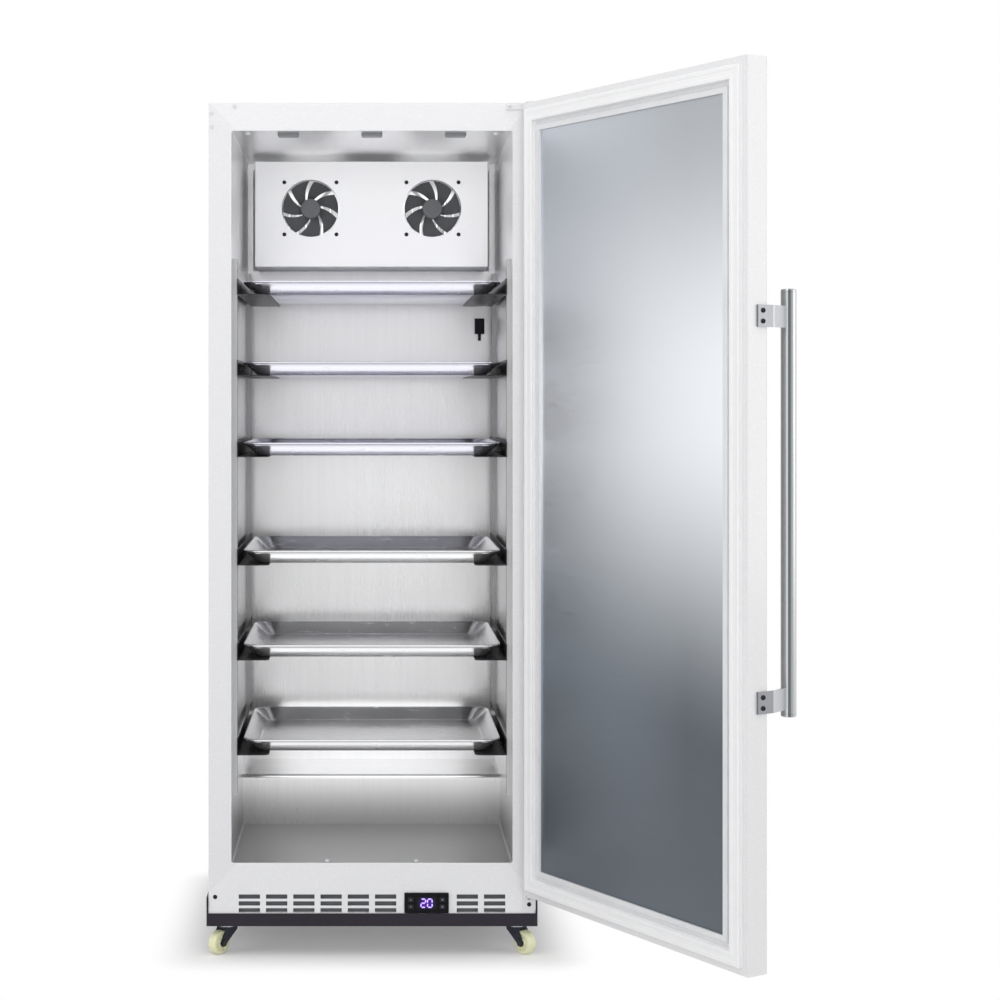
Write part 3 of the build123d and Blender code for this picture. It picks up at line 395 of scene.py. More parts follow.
zinc_plate, fork_paint, nylon = zinc("zinc_plate"), fork_black(), wheel_nylon()
spokes = spokes_tree()
wheel_radius, wheel_half, axle_radius = 0.0215, 0.009, 0.00406
wheel_profile = [(0.0, axle_radius), (0.0, 0.0072), (0.0020, 0.0080), (0.0025, 0.0090), (0.0025, 0.0136),
                 (0.0020, 0.0146), (0.0, 0.0152), (0.0, 0.0186), (0.0008, 0.0204), (0.0026, 0.0214),
                 (0.0060, wheel_radius), (0.0084, wheel_radius), (0.0087, wheel_radius - 0.0002)]
wheel_loop = ([(along - wheel_half, radius) for along, radius in wheel_profile]
              + [(wheel_half - along, radius) for along, radius in reversed(wheel_profile)])
rib_count, rib_half, rib_inner, rib_outer, rib_recess = 8, 0.0006, 0.0078, 0.0150, 0.0006
dress(zinc_plate, "caster_plates")
for corner in ("front_left", "front_right", "rear_left", "rear_right"):
    roll = joints[f"caster_{corner}_roll"]
    hub = seat_at(roll["pos_m"], roll["axis"])
    dress(fork_paint, f"caster_fork_{corner}")
    wheel = bored(f"nylon_wheel_{corner}", wheel_loop, hub, nylon, 64)
    rib = shaped("rib_pattern", [(x, y, z) for x in (rib_inner, rib_outer) for y in (-rib_half, rib_half)
                                 for z in (-wheel_half + rib_recess, wheel_half - rib_recess)],
                 [(0, 1, 3, 2), (4, 6, 7, 5), (0, 4, 5, 1), (2, 3, 7, 6), (0, 2, 6, 4), (1, 5, 7, 3)], nylon)
    ribs = spokes.build(f"wheel_ribs_{corner}",
                        {"Item": rib, "Count": rib_count, "Turn": tau / rib_count, "Material": nylon},
                        seat=hub)
    put_away(rib)
    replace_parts(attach(wheel, f"wheel_{corner}"), f"caster_wheel_{corner}")
    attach(ribs, f"wheel_{corner}")


# Cabinet sheets and foam. A wrapper, a face frame with mitred corners and a back panel of thin
# steel; the wrapper and the frame are enamelled white, the back and the machine bulkhead are
# galvanised. Foam is blown in between these sheets and the liner, and between the door's skins.
seam_half, stile_width = 0.0004, 0.042


def enamel(name, colour=(0.80, 0.80, 0.815), mitre=None, matt=0.0):
    """Baked white enamel, rougher by a matt share. A mitre gives the frame's outer half width, top
    and bottom: its stiles are darkened by painted shade, with fine seams where they meet the rails."""
    finish = Finish(name)
    peel = finish.noise(280, detail=1.0)
    cloud = finish.noise(3)
    body = finish.tint(cloud, colour, scaled(colour, 0.975))
    if mitre:
        half, top, low = mitre
        x, _, z = finish.axes()
        side, above, under = half - abs(x), top - z, z - low
        # Painted shade: the stiles are made darker than the rails of the same enamel.
        body = finish.tint((side < above) * (side < under), body, scaled(colour, 0.94))
        seam = (abs(side - above) < seam_half) + (abs(side - under) < seam_half)
        body = finish.tint(seam * (side < stile_width), body, scaled(colour, 0.86))
    return finish.closed(Base_Color=body, Roughness=finish.spread(peel, 0.24 + matt, 0.28 + matt),
                         Normal=finish.bump(peel, 0.000005), Coat_Weight=0.3 * (1 - matt / 0.4),
                         Coat_Roughness=0.12)


def foam():
    finish = Finish("insulating_foam")
    cells = finish.node("ShaderNodeTexVoronoi", {}, {"Vector": finish.place, "Scale": 900}, "Distance")
    cloud = finish.noise(12)
    return finish.closed(Base_Color=finish.tint(cloud, (0.74, 0.62, 0.34), (0.82, 0.72, 0.45)),
                         Roughness=finish.between(cells, 0, 1, 0.8, 0.95),
                         Normal=finish.bump(cells, 0.0005))


frame_low, frame_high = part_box("face_frame")
white = enamel("white_enamel")
# The frame's stiles carry painted shade.
frame_white = enamel("frame_enamel", mitre=(frame_high.x, frame_high.z, frame_low.z))
galvanised = zinc("galvanised_sheet", (0.46, 0.47, 0.48), 1.18)
dress(white, "outer_shell")
dress(frame_white, "face_frame")
dress(galvanised, "back_panel", "machine_bulkhead")
dress(foam(), "cabinet_foam", "door_foam")


# Inner liner. Brushed stainless sheet, folded and riveted round the food space, with a step
# over the machine space. Its grain runs up the walls.
def brushed(name, colour, along, rough, depth=0.00004, shade=0.10, foot=None):
    """Brushed steel with its grain along one axis, given as a stretch. A foot (low, high, share)
    is a zone at the bottom darkened by painted shade."""
    finish = Finish(name)
    hair = finish.noise(900, along, 3.0)
    wide = finish.noise(90, along)
    cloud = finish.noise(2.5)
    body = finish.tint(finish.between(hair * 0.6 + wide * 0.4, 0.35, 0.65), colour,
                       scaled(colour, 1 + shade))
    # The foot's darkening is painted shade.
    if foot:
        low, high, share = foot
        body = finish.tint(finish.between(finish.axes()[2], low, high, curve="SMOOTHSTEP"),
                           scaled(colour, share), body)
    dull = finish.spread(hair, *rough) + (cloud - 0.5) * 0.08
    return finish.closed(Base_Color=body, Metallic=0.8, Roughness=dull, Normal=finish.bump(hair, depth))


upright = (1, 1, 0.02)
# The liner is darker at its foot, up to the step's top: painted shade.
dress(brushed("liner_steel", (0.84, 0.84, 0.845), upright, (0.27, 0.33), 0.000015, shade=0.06,
              foot=(0.165, 0.272, 0.48)), "inner_liner")


# Kick grille and its filter. A folded white steel plate, punched with three rows of slots, and
# a slate-grey filter pad in a wire frame, clipped behind it to keep lint out of the machine space.
def bars_tree():
    """A row of thin bars: how many, how far apart, and each bar's size."""
    repeat = Repeater("row_of_bars", {"Count": "NodeSocketInt", "Step": "NodeSocketVector",
                                      "Bar": "NodeSocketVector", "Material": "NodeSocketMaterial"})
    line = repeat.node("GeometryNodeMeshLine", {"mode": "OFFSET"},
                       {"Count": repeat.given("Count"), "Offset": repeat.given("Step")})
    bar = repeat.node("GeometryNodeMeshCube", {}, {"Size": repeat.given("Bar")})
    copies = repeat.node("GeometryNodeInstanceOnPoints", {},
                         {"Points": line.outputs[0], "Instance": bar.outputs[0]})
    repeat.finish(copies.outputs[0])
    return repeat


def filter_felt():
    finish = Finish("filter_felt")
    fibre = finish.noise(900, (1, 1, 3), 4.0)
    dust = finish.noise(60)
    return finish.closed(Base_Color=finish.tint(dust, (0.105, 0.11, 0.12), (0.15, 0.155, 0.165)),
                         Roughness=finish.spread(dust, 0.8, 0.95),
                         Normal=finish.bump(fibre, 0.0004))


grille_low, grille_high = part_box("kick_grille")
dress(white, "kick_grille")
bars = bars_tree()
felt = filter_felt()
pad_depth, pad_margin, pad_wire, pad_pitch = 0.0030, 0.0024, 0.0012, 0.030
pad_setback, pad_end, pad_tuck = 0.0090, 0.030, 0.002
pad_y = grille_low.y + pad_setback
controller_low, controller_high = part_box("controller_body")
pad_middle_z = (grille_low.z + grille_high.z) / 2
pad_height = grille_high.z - grille_low.z - 2 * pad_margin
for name, x0, x1 in (("left", grille_low.x + pad_end, controller_low.x + pad_tuck),
                     ("right", controller_high.x - pad_tuck, grille_high.x - pad_end)):
    width = x1 - x0
    pad = bars.build(f"filter_pad_{name}",
                     {"Count": 1, "Step": (0, 0, 0), "Bar": (width, pad_depth, pad_height),
                      "Material": felt},
                     seat=Matrix.Translation(((x0 + x1) / 2, pad_y, pad_middle_z)))
    wire_count = round(width / pad_pitch)
    wires = bars.build(f"filter_wires_{name}",
                       {"Count": wire_count, "Step": (width / wire_count, 0, 0),
                        "Bar": (pad_wire, pad_wire, pad_height), "Material": zinc_plate},
                       seat=Matrix.Translation((x0 + width / wire_count / 2,
                                                pad_y + (pad_depth + pad_wire) / 2, pad_middle_z)))
    for piece in (pad, wires):
        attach(piece, "cabinet")


# Controller. A black moulded body clipped into the grille, a tinted display window with two
# glowing digits, and four push buttons with printed marks.
def moulded(name, colour, rough=(0.34, 0.46), grain_scale=700, depth=0.00006, **more):
    """Moulded plastic with a fine spark-eroded grain."""
    finish = Finish(name)
    grain = finish.noise(grain_scale)
    cloud = finish.noise(20)
    return finish.closed(Base_Color=finish.tint(cloud, colour, scaled(colour, 1.12)),
                         Roughness=finish.spread(grain, *rough),
                         Normal=finish.bump(grain, depth), **more)


def glow(name, colour, strength):
    """A lit digit, a little brighter where its grain is."""
    finish = Finish(name)
    grain = finish.noise(1200)
    return finish.closed(Base_Color=(0.02, 0.02, 0.03), Roughness=finish.spread(grain, 0.3, 0.4),
                         Emission_Color=finish.tint(grain, colour, scaled(colour, 1.15)),
                         Emission_Strength=strength)


def plate(name, outline, y0, y1, material, at=(0, 0)):
    """A thin piece whose outline is drawn from the front, as (x, z) points, from y0 back to y1."""
    points = [(x + at[0], y, z + at[1]) for y in (y0, y1) for x, z in outline]
    count = len(outline)
    faces = [list(range(count)), list(range(2 * count - 1, count - 1, -1))] + ring_faces(2, count)
    return shaped(name, points, faces, material)


def window_tint():
    """A smoked window. The lit digits spill a little violet light into it."""
    finish = Finish("display_window")
    low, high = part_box("controller_window")
    x, _, z = finish.axes()
    off = finish.length((x - (low.x + high.x) / 2) * 0.75, z - (low.z + high.z) / 2)
    spill = finish.between(off, 0.0035, 0.0125, 1.0, 0.0, "SMOOTHSTEP")
    grain = finish.noise(300)
    return finish.closed(Base_Color=finish.tint(grain, (0.004, 0.003, 0.008), (0.006, 0.005, 0.011)),
                         Roughness=finish.spread(grain, 0.06, 0.10), Specular_IOR_Level=0.2,
                         Emission_Color=finish.tint(spill, (0.0, 0.0, 0.0), (0.055, 0.008, 0.30)),
                         Emission_Strength=1.0)


case_black = moulded("controller_black", (0.005, 0.005, 0.007), Specular_IOR_Level=0.1)
button_black = moulded("button_black", (0.012, 0.012, 0.014), Specular_IOR_Level=0.3)
dress(case_black, "controller_body")
dress(window_tint(), "controller_window")
dress(button_black, *(f"controller_button_{n}" for n in range(1, 5)))
window_low, window_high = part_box("controller_window")
digit_light = glow("digit_light", (0.52, 0.36, 1.0), 1.6)
digit_height, digit_width, stroke = 0.0150, 0.0084, 0.0023
digit_gap, digit_skin, bar_gap_share = 0.0036, 0.00012, 0.3
segments = {"top": (0, 1, 1), "middle": (0, 0, 1), "low": (0, -1, 1), "left_up": (-1, 0.5, 0),
            "right_up": (1, 0.5, 0), "left_down": (-1, -0.5, 0), "right_down": (1, -0.5, 0)}
shown = {"2": ("top", "right_up", "middle", "left_down", "low"),
         "0": ("top", "right_up", "right_down", "low", "left_down", "left_up")}
display_middle = (window_low + window_high) / 2
for place, digit in enumerate("20"):
    centre_x = display_middle.x + (place - 0.5) * (digit_width + digit_gap)
    for number, part in enumerate(shown[digit]):
        side, level, lying = segments[part]
        half_long = (digit_width if lying else digit_height / 2) / 2 - stroke * bar_gap_share
        bar = [(-half_long, 0), (-half_long + stroke / 2, stroke / 2), (half_long - stroke / 2, stroke / 2),
               (half_long, 0), (half_long - stroke / 2, -stroke / 2), (-half_long + stroke / 2, -stroke / 2)]
        if not lying:
            bar = [(z, x) for x, z in bar]
        segment = plate(f"digit_{place + 1}_bar_{number + 1}", bar, window_low.y - digit_skin, window_low.y,
                        digit_light, (centre_x + side * digit_width / 2,
                                      display_middle.z + level * digit_height / 2))
        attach(segment, "cabinet")
mark_print = moulded("button_print", (0.16, 0.17, 0.20), (0.45, 0.55))
mark, mark_proud, mark_sink, ring_steps = 0.0017, 0.00008, 0.0001, 16
triangle = [(-mark, -mark * 0.8), (mark, -mark * 0.8), (0, mark)]
ring = [(mark * cos(tau * i / ring_steps), mark * sin(tau * i / ring_steps)) for i in range(ring_steps)]
for number, outline in enumerate((triangle, [(x, -z) for x, z in triangle], ring, ring[::2]), start=1):
    low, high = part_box(f"controller_button_{number}")
    printed = plate(f"button_mark_{number}", outline, low.y - mark_proud, low.y + mark_sink, mark_print,
                    ((low.x + high.x) / 2, (low.z + high.z) / 2))
    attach(printed, f"button_{number}")


# Shelf standards and rails. Roll-formed steel channels with punched slots at the liner's four
# corners, and dark L-shaped rails that hook into them, two for each tray.
def rail_paint():
    finish = Finish("rail_steel")
    drawn = finish.noise(600, (1, 0.03, 1))
    cloud = finish.noise(9)
    return finish.closed(Base_Color=finish.tint(cloud, (0.010, 0.009, 0.011), (0.020, 0.017, 0.019)),
                         Roughness=finish.spread(drawn, 0.26, 0.40), Specular_IOR_Level=0.25,
                         Normal=finish.bump(drawn, 0.00003))


dress(brushed("standard_steel", (0.44, 0.44, 0.445), upright, (0.36, 0.48)), "shelf_standards")
dress(rail_paint(), "tray_rails_left", "tray_rails_right")


# Sheet trays. Each is one aluminium sheet, pressed with sloped sides and rounded corners, its
# edge rolled over a wire. It lies loose on its two rails and slides out.
tray_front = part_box("sheet_tray_1")[0].y
# Width and share of the painted shade along the trays' front edge.
front_shade_width, front_shade_share = 0.012, 0.62


def tray_metal(name, colour):
    """Rolled aluminium, darker along the front edge by painted shade."""
    finish = Finish(name)
    rolled = finish.noise(700, (1, 0.03, 0.3), 3.0)
    scratch = finish.between(finish.noise(130, (0.2, 1, 1), 4.0), 0.62, 0.70)
    cloud = finish.noise(6)
    # Painted shade: the front edge is made darker than the rest of the tray.
    worn = finish.between(finish.axes()[1], tray_front, tray_front + front_shade_width, front_shade_share, 1.0,
                          "SMOOTHSTEP")
    body = finish.tint(cloud, colour, scaled(colour, 1.08))
    return finish.closed(Base_Color=finish.tint(worn, (0.0, 0.0, 0.0), body), Metallic=0.9,
                         Roughness=finish.spread(cloud, 0.16, 0.27) + scratch * 0.12,
                         Normal=finish.bump(rolled, 0.00003))


def rounded(half_x, half_y, radius, corner_steps=10):
    """Corner points of a rounded rectangle, turning from +X to +Y."""
    loop = []
    for turn, (sx, sy) in enumerate(((1, 1), (-1, 1), (-1, -1), (1, -1))):
        for k in range(corner_steps + 1):
            angle = pi / 2 * (turn + k / corner_steps)
            loop.append((sx * (half_x - radius) + radius * cos(angle),
                         sy * (half_y - radius) + radius * sin(angle)))
    return loop


tray_skin, bead_radius, wall_inset, floor_inset = 0.0012, 0.0026, 0.0062, 0.0232
outer_corner, inner_slope = 0.036, 0.5
bend_radius, bend_turn, bend_steps = 0.006, radians(56), 4


def pan_profile(height):
    """(inset, rise) pairs from the middle of the inside, over the rolled edge, to the underside."""
    floor_edge, bead_middle = floor_inset + tray_skin, height - bead_radius
    inside = [(floor_edge + bend_radius * 1.5, tray_skin)]
    for k in range(bend_steps + 1):
        angle = bend_turn * k / bend_steps
        inside.append((floor_edge + bend_radius * 0.75 - bend_radius * sin(angle),
                       tray_skin + bend_radius * (1 - cos(angle))))
    inside.append((wall_inset + tray_skin * 0.8, bead_middle - 0.0016))
    bead = [(bead_radius + bead_radius * cos(angle), bead_middle + bead_radius * sin(angle))
            for angle in map(radians, range(20, 271, 25))]
    under_bead = height - 2 * bead_radius
    outside = [(wall_inset - 0.0002, under_bead + 0.0004), (wall_inset, under_bead - 0.0012),
               (floor_inset + 0.0006, 0.0022), (floor_inset + 0.0024, 0.0006), (floor_inset + 0.0050, 0.0)]
    return inside + bead + outside


# The upper three trays are tinted lavender, a painted reflection; the metal is the same as the lower ones.
lavender_reflection_tray = tray_metal("tray_metal_cool", (0.82, 0.82, 0.90))
plain_tray = tray_metal("tray_metal_plain", (0.88, 0.88, 0.89))
for number in range(1, 7):
    low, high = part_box(f"sheet_tray_{number}")
    centre, half = (low + high) / 2, (high - low) / 2
    profile = pan_profile(high.z - low.z)
    points = []
    for inset, rise in profile:
        corner = outer_corner - min(inset, wall_inset) - max(0.0, inset - wall_inset) * inner_slope
        points += [(centre.x + x, centre.y + y, low.z + rise)
                   for x, y in rounded(half.x - inset, half.y - inset, corner)]
    count = len(points) // len(profile)
    faces = ring_faces(len(profile), count)
    faces += [list(range(count)), list(range(len(points) - count, len(points)))]
    tray = shaped(f"aluminium_tray_{number}", points, faces, lavender_reflection_tray if number > 3 else plain_tray, 40.0)
    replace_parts(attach(tray, f"tray_{number}"), f"sheet_tray_{number}")


# Fan cover and its two axial fans. A folded steel duct cover, enamelled pale grey-white, with two
# moulded fans screwed behind its round openings. Their swept blades mirror each other.
cover_white = enamel("cover_enamel", (0.88, 0.88, 0.885), matt=0.3)
fan_pale = moulded("fan_frame_plastic", (0.72, 0.725, 0.73), (0.40, 0.52))
fan_dark = moulded("fan_blade_plastic", (0.060, 0.062, 0.066), (0.42, 0.55), Specular_IOR_Level=0.4)
hub_grey = moulded("fan_hub_plastic", (0.10, 0.103, 0.107), (0.46, 0.58), Specular_IOR_Level=0.4)
dress(cover_white, "fan_cover")
dress(fan_pale, "evaporator_fan_frame_left", "evaporator_fan_frame_right")
blade_count, hub_radius, hub_round = 7, 0.0200, 0.0028
blade_cover, blade_sweep, blade_depth, blade_skin = radians(43), radians(28), 0.0105, 0.0012
blade_camber, blade_edge_share, blade_sink, blade_place_share = 0.0016, 0.35, 0.001, 0.47


def blade_pattern(name, hand, root, tip, depth, material):
    """One swept, cambered blade round the Z axis, thin at its edges, with Z towards the back."""
    along, across = 9, 10
    skins = []
    for face in (-1, 1):
        for i in range(along):
            share = i / (along - 1)
            radius = root + (tip - root) * share
            lean = hand * blade_sweep * share ** 0.8
            cover = blade_cover * (0.97 + 0.06 * share * (share - 0.6))
            for k in range(across):
                t = k / (across - 1)
                angle = lean + hand * (t - 0.5) * cover
                thick = blade_skin * (blade_edge_share + (1 - blade_edge_share) * sin(pi * t)) / 2
                z = (0.5 - t) * depth + blade_camber * sin(pi * t) + face * thick
                skins.append((radius * sin(angle), radius * cos(angle), z))
    size = along * across
    cells = [(i * across + k, i * across + k + 1, (i + 1) * across + k + 1, (i + 1) * across + k)
             for i in range(along - 1) for k in range(across - 1)]
    faces = cells + [tuple(size + v for v in reversed(cell)) for cell in cells]
    rim = (list(range(across)) + [i * across + across - 1 for i in range(1, along)]
           + [(along - 1) * across + k for k in range(across - 2, -1, -1)]
           + [i * across for i in range(along - 2, 0, -1)])
    faces += [(a, b, size + b, size + a) for a, b in zip(rim, rim[1:] + rim[:1])]
    return shaped(name, skins, faces, material, 50.0)


def fan_rotor(name, node, hand, axis, body, tone, hub_tone):
    """Hub and blades in the place of one CAD rotor, whose front end faces against the axis."""
    low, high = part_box(node)
    depth = abs((high - low).dot(Vector(axis)))
    tip = max(high - low) / 2
    seat = seat_at((low + high) / 2 - Vector(axis) * depth / 2, axis)
    dome = [(hub_round * (1 - cos(a)), hub_radius - hub_round + hub_round * sin(a))
            for a in (pi / 2 * k / 4 for k in range(5))]
    hub = turned(f"{name}_hub", [(0.0006, 0.0052), (0.0006, 0.0090), (0.0, 0.0094)] + dome
                 + [(depth * 0.5, hub_radius), (depth, hub_radius)], seat, hub_tone)
    blade = blade_pattern("blade_pattern", hand, hub_radius - blade_sink, tip, blade_depth, tone)
    blades = spokes.build(f"{name}_blades",
                          {"Item": blade, "Count": blade_count, "Turn": tau / blade_count,
                           "Material": tone},
                          seat=seat @ Matrix.Translation((0, 0, depth * blade_place_share)), smooth=50.0)
    put_away(blade)
    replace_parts(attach(blades, body), node)
    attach(hub, body)


for side, hand in (("left", -1), ("right", 1)):
    fan_rotor(f"evaporator_fan_{side}", f"evaporator_fan_rotor_{side}", hand, (0, 1, 0),
              f"evaporator_fan_{side}", fan_dark, hub_grey)


# Evaporator. Behind the cover, copper tubes run through a block of thin aluminium fins over
# a pressed drip tray. The fins are stacked on the tubes and the tubes are expanded into them.
def fin_metal():
    finish = Finish("fin_aluminium")
    wave = finish.node("ShaderNodeTexWave", {"bands_direction": "Z"},
                       {"Vector": finish.place, "Scale": 110, "Distortion": 0.4})
    frost = finish.noise(35)
    return finish.closed(Base_Color=finish.tint(frost, (0.74, 0.75, 0.76), (0.84, 0.85, 0.86)),
                         Metallic=1.0, Roughness=finish.spread(frost, 0.30, 0.46),
                         Normal=finish.bump(wave, 0.0001))


fins = fin_metal()
dress(fins, "evaporator_coil", "condenser")
dress(zinc("drip_tray_zinc"), "evaporator_drip_tray")
fin_sheet, fin_step, fin_inset = 0.0004, 0.0042, 0.0002
coil_low, coil_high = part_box("evaporator_coil")
coil_half = 0.200
coil_middle = (coil_low + coil_high) / 2
fin_count = round(2 * coil_half / fin_step)
fin = (fin_sheet, coil_high.y - coil_low.y - 2 * fin_inset, coil_high.z - coil_low.z - 2 * fin_inset)
stack = bars.build("evaporator_fins",
                   {"Count": fin_count, "Step": (fin_step, 0, 0), "Bar": fin, "Material": fins},
                   seat=Matrix.Translation((coil_middle.x - (fin_count - 1) / 2 * fin_step,
                                            coil_middle.y, coil_middle.z)))
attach(stack, "cabinet")


# Ceiling lamps and the air probe. Three frosted lenses snap into the ceiling behind the frame,
# and a small dark housing on the back wall holds the sensor.
def frosted(name, colour):
    finish = Finish(name)
    prism = finish.node("ShaderNodeTexWave", {"bands_direction": "X"},
                        {"Vector": finish.place, "Scale": 160})
    grain = finish.noise(500)
    return finish.closed(Base_Color=finish.tint(prism, colour, scaled(colour, 1.2)),
                         Roughness=finish.spread(grain, 0.35, 0.5),
                         Normal=finish.bump(prism, 0.0002))


dress(frosted("lamp_lens", (0.17, 0.175, 0.185)), "lamp_lenses")
dress(moulded("probe_plastic", (0.010, 0.010, 0.020), Specular_IOR_Level=0.2), "probe_housing")


# Machine space. A welded compressor on rubber feet, copper lines up to the coil and across to
# the condenser with its fan, all standing on the base frame's deck.
def black_lacquer():
    finish = Finish("compressor_lacquer")
    peel = finish.noise(260, detail=1.0)
    dust = finish.between(finish.noise(14), 0.45, 0.75)
    return finish.closed(Base_Color=finish.tint(dust * 0.5, (0.012, 0.012, 0.013), (0.10, 0.095, 0.09)),
                         Roughness=finish.spread(peel, 0.22, 0.34) + dust * 0.2,
                         Normal=finish.bump(peel, 0.00015))


def copper():
    finish = Finish("copper_tube")
    tarnish = finish.noise(30, (1, 1, 0.4), 3.0)
    drawn = finish.noise(700)
    return finish.closed(Base_Color=finish.tint(tarnish, (0.58, 0.25, 0.14), (0.82, 0.42, 0.26)),
                         Metallic=1.0, Roughness=finish.spread(tarnish, 0.22, 0.42),
                         Normal=finish.bump(drawn, 0.00003))


def tube(name, route, radius, material):
    """A bent metal line along a route, with soft corners."""
    curve = bpy.data.curves.new(name, "CURVE")
    curve.dimensions, curve.bevel_depth, curve.bevel_resolution = "3D", radius, 5
    curve.use_fill_caps, curve.resolution_u = True, 10
    spline = curve.splines.new("NURBS")
    spline.points.add(len(route) - 1)
    for point, place in zip(spline.points, route):
        point.co = (*place, 1)
    spline.order_u, spline.use_endpoint_u = 3, True
    pattern = linked(name + "_line", curve)
    mesh = bpy.data.meshes.new_from_object(
        pattern.evaluated_get(bpy.context.evaluated_depsgraph_get()))
    bpy.data.objects.remove(pattern)
    bpy.data.curves.remove(curve)
    mesh.name = name
    mesh.materials.clear()
    mesh.materials.append(material)
    mesh.shade_smooth()
    return linked(name, mesh)


lacquer, copper_tube = black_lacquer(), copper()
dress(lacquer, "compressor")
dress(case_black, "condenser_fan_frame")
fan_rotor("condenser_fan", "condenser_fan_rotor", 1, (1, 0, 0), "condenser_fan", case_black,
          hub_grey)
pot_low, pot_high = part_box("compressor")
cool_low, cool_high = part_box("condenser")
pot_x, pot_y = 0.120, (pot_low.y + pot_high.y) / 2
line_radius, cool_gap, wall_gap, wall_sink = 0.0032, 0.035, 0.012, 0.001
front_wall = cool_low.y - cool_gap
wall_y, in_wall = front_wall + wall_gap, front_wall + wall_sink
deck = pot_low.z
low_line, high_line, outlet = deck + 0.018, pot_high.z + 0.004, deck + 0.100
coil_in, coil_back, coil_top = cool_low.x + 0.028, cool_high.y + 0.005, cool_high.z - 0.020
dryer_low = Vector((cool_high.x + 0.050, wall_y, deck + 0.060))
dryer_high = Vector((cool_high.x + 0.090, wall_y, deck + 0.100))
lines = {
    "discharge_line": [(pot_x - 0.055, pot_y + 0.020, outlet), (pot_x - 0.085, pot_y + 0.030, outlet),
                       (pot_x - 0.100, pot_y + 0.050, outlet), (pot_x - 0.100, pot_y + 0.050, low_line),
                       (cool_high.x + 0.060, pot_y + 0.068, low_line), (coil_in, coil_back, low_line),
                       (coil_in, coil_back, coil_top), (coil_in, cool_high.y - 0.015, coil_top)],
    "suction_line": [(pot_x + 0.030, pot_y + 0.045, pot_high.z - 0.035),
                     (pot_x + 0.034, pot_y + 0.060, pot_high.z - 0.012),
                     (pot_x + 0.034, pot_y + 0.050, high_line), (pot_x + 0.030, wall_y + 0.020, high_line),
                     (pot_x + 0.028, wall_y, high_line), (pot_x + 0.028, in_wall, high_line)],
    "filter_line": [(coil_in, cool_low.y + 0.015, low_line), (coil_in, cool_low.y - 0.012, low_line),
                    (cool_low.x + 0.040, wall_y, deck + 0.026), tuple(dryer_low), tuple(dryer_high),
                    (cool_high.x + 0.100, wall_y, deck + 0.125),
                    (cool_high.x + 0.100, in_wall, deck + 0.128)],
}
for name, route in lines.items():
    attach(tube(name, route, line_radius, copper_tube), "cabinet")
dryer = turned("filter_dryer", [(0, 0.0034), (0.006, 0.0090), (0.014, 0.0100), (0.044, 0.0100),
                                (0.052, 0.0090), (0.058, 0.0034)],
               seat_at(dryer_low, dryer_high - dryer_low), copper_tube, 32)
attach(dryer, "cabinet")


# Rear cover and mains inlet. A galvanised sheet with pressed louvres closes the machine space,
# and a black moulded inlet with three contacts is clipped through it.
def screw_head(name, radius, height, material):
    """A pan head with a cross driven into it, standing on Z 0."""
    dome = [(height * sin(a), radius * (0.35 + 0.65 * cos(a))) for a in (pi / 2 * k / 6 for k in range(7))]
    head = turned(name, [(0, radius)] + dome + [(height, radius * 0.3)], Matrix.Identity(4), material,
                  24, 50.0)
    arm, half = radius * 0.58, radius * 0.13
    cross = [(-half, arm), (half, arm), (half, half), (arm, half), (arm, -half), (half, -half),
             (half, -arm), (-half, -arm), (-half, -half), (-arm, -half), (-arm, half), (-half, half)]
    points = [(x * wide, y * wide, z) for z, wide in ((height * 0.35, 0.75), (height * 1.4, 1.15))
              for x, y in cross]
    count = len(cross)
    faces = [list(range(count)), list(range(2 * count - 1, count - 1, -1))] + ring_faces(2, count)
    bit = shaped(name + "_bit", points, faces, material)
    cut = head.modifiers.new("cross", "BOOLEAN")
    cut.object, cut.operation, cut.solver = bit, "DIFFERENCE", "EXACT"
    mesh = bpy.data.meshes.new_from_object(head.evaluated_get(bpy.context.evaluated_depsgraph_get()))
    head.modifiers.clear()
    head.data = mesh
    mesh.shade_smooth()
    mesh.set_sharp_from_angle(angle=radians(40))
    put_away(bit)
    return head


def points_tree():
    """One item on every point, with one turn for all."""
    repeat = Repeater("item_on_points", {"Geometry": "NodeSocketGeometry", "Item": "NodeSocketObject",
                                         "Turn": "NodeSocketRotation", "Material": "NodeSocketMaterial"})
    item = repeat.node("GeometryNodeObjectInfo", {}, {"Object": repeat.given("Item")})
    copies = repeat.node("GeometryNodeInstanceOnPoints", {},
                         {"Points": repeat.given("Geometry"), "Instance": item.outputs["Geometry"],
                          "Rotation": repeat.given("Turn")})
    repeat.finish(copies.outputs[0])
    return repeat


screw_zinc = zinc("screw_zinc", (0.36, 0.37, 0.39))
screw_pattern = screw_head("screw_pattern", 0.0040, 0.0022, screw_zinc)
on_points = points_tree()
rear_low, rear_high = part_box("rear_cover")
dress(zinc("rear_cover_zinc", (0.30, 0.31, 0.32), 1.12), "rear_cover")
dress(case_black, "power_inlet")
towards_back, towards_front = (-pi / 2, 0, 0), (pi / 2, 0, 0)
rear_sheet, side_inset, edge_inset, middle_spread = 0.0010, 0.012, 0.008, 0.100
rear_face = rear_low.y + rear_sheet
rear_points = [(x, rear_face, z) for x in (rear_low.x + side_inset, -middle_spread, middle_spread,
                                           rear_high.x - side_inset)
               for z in (rear_low.z + edge_inset, rear_high.z - edge_inset)]
rear_screws = on_points.build("rear_cover_screws",
                              {"Item": screw_pattern, "Turn": towards_back, "Material": screw_zinc},
                              rear_points, smooth=40)
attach(rear_screws, "cabinet")


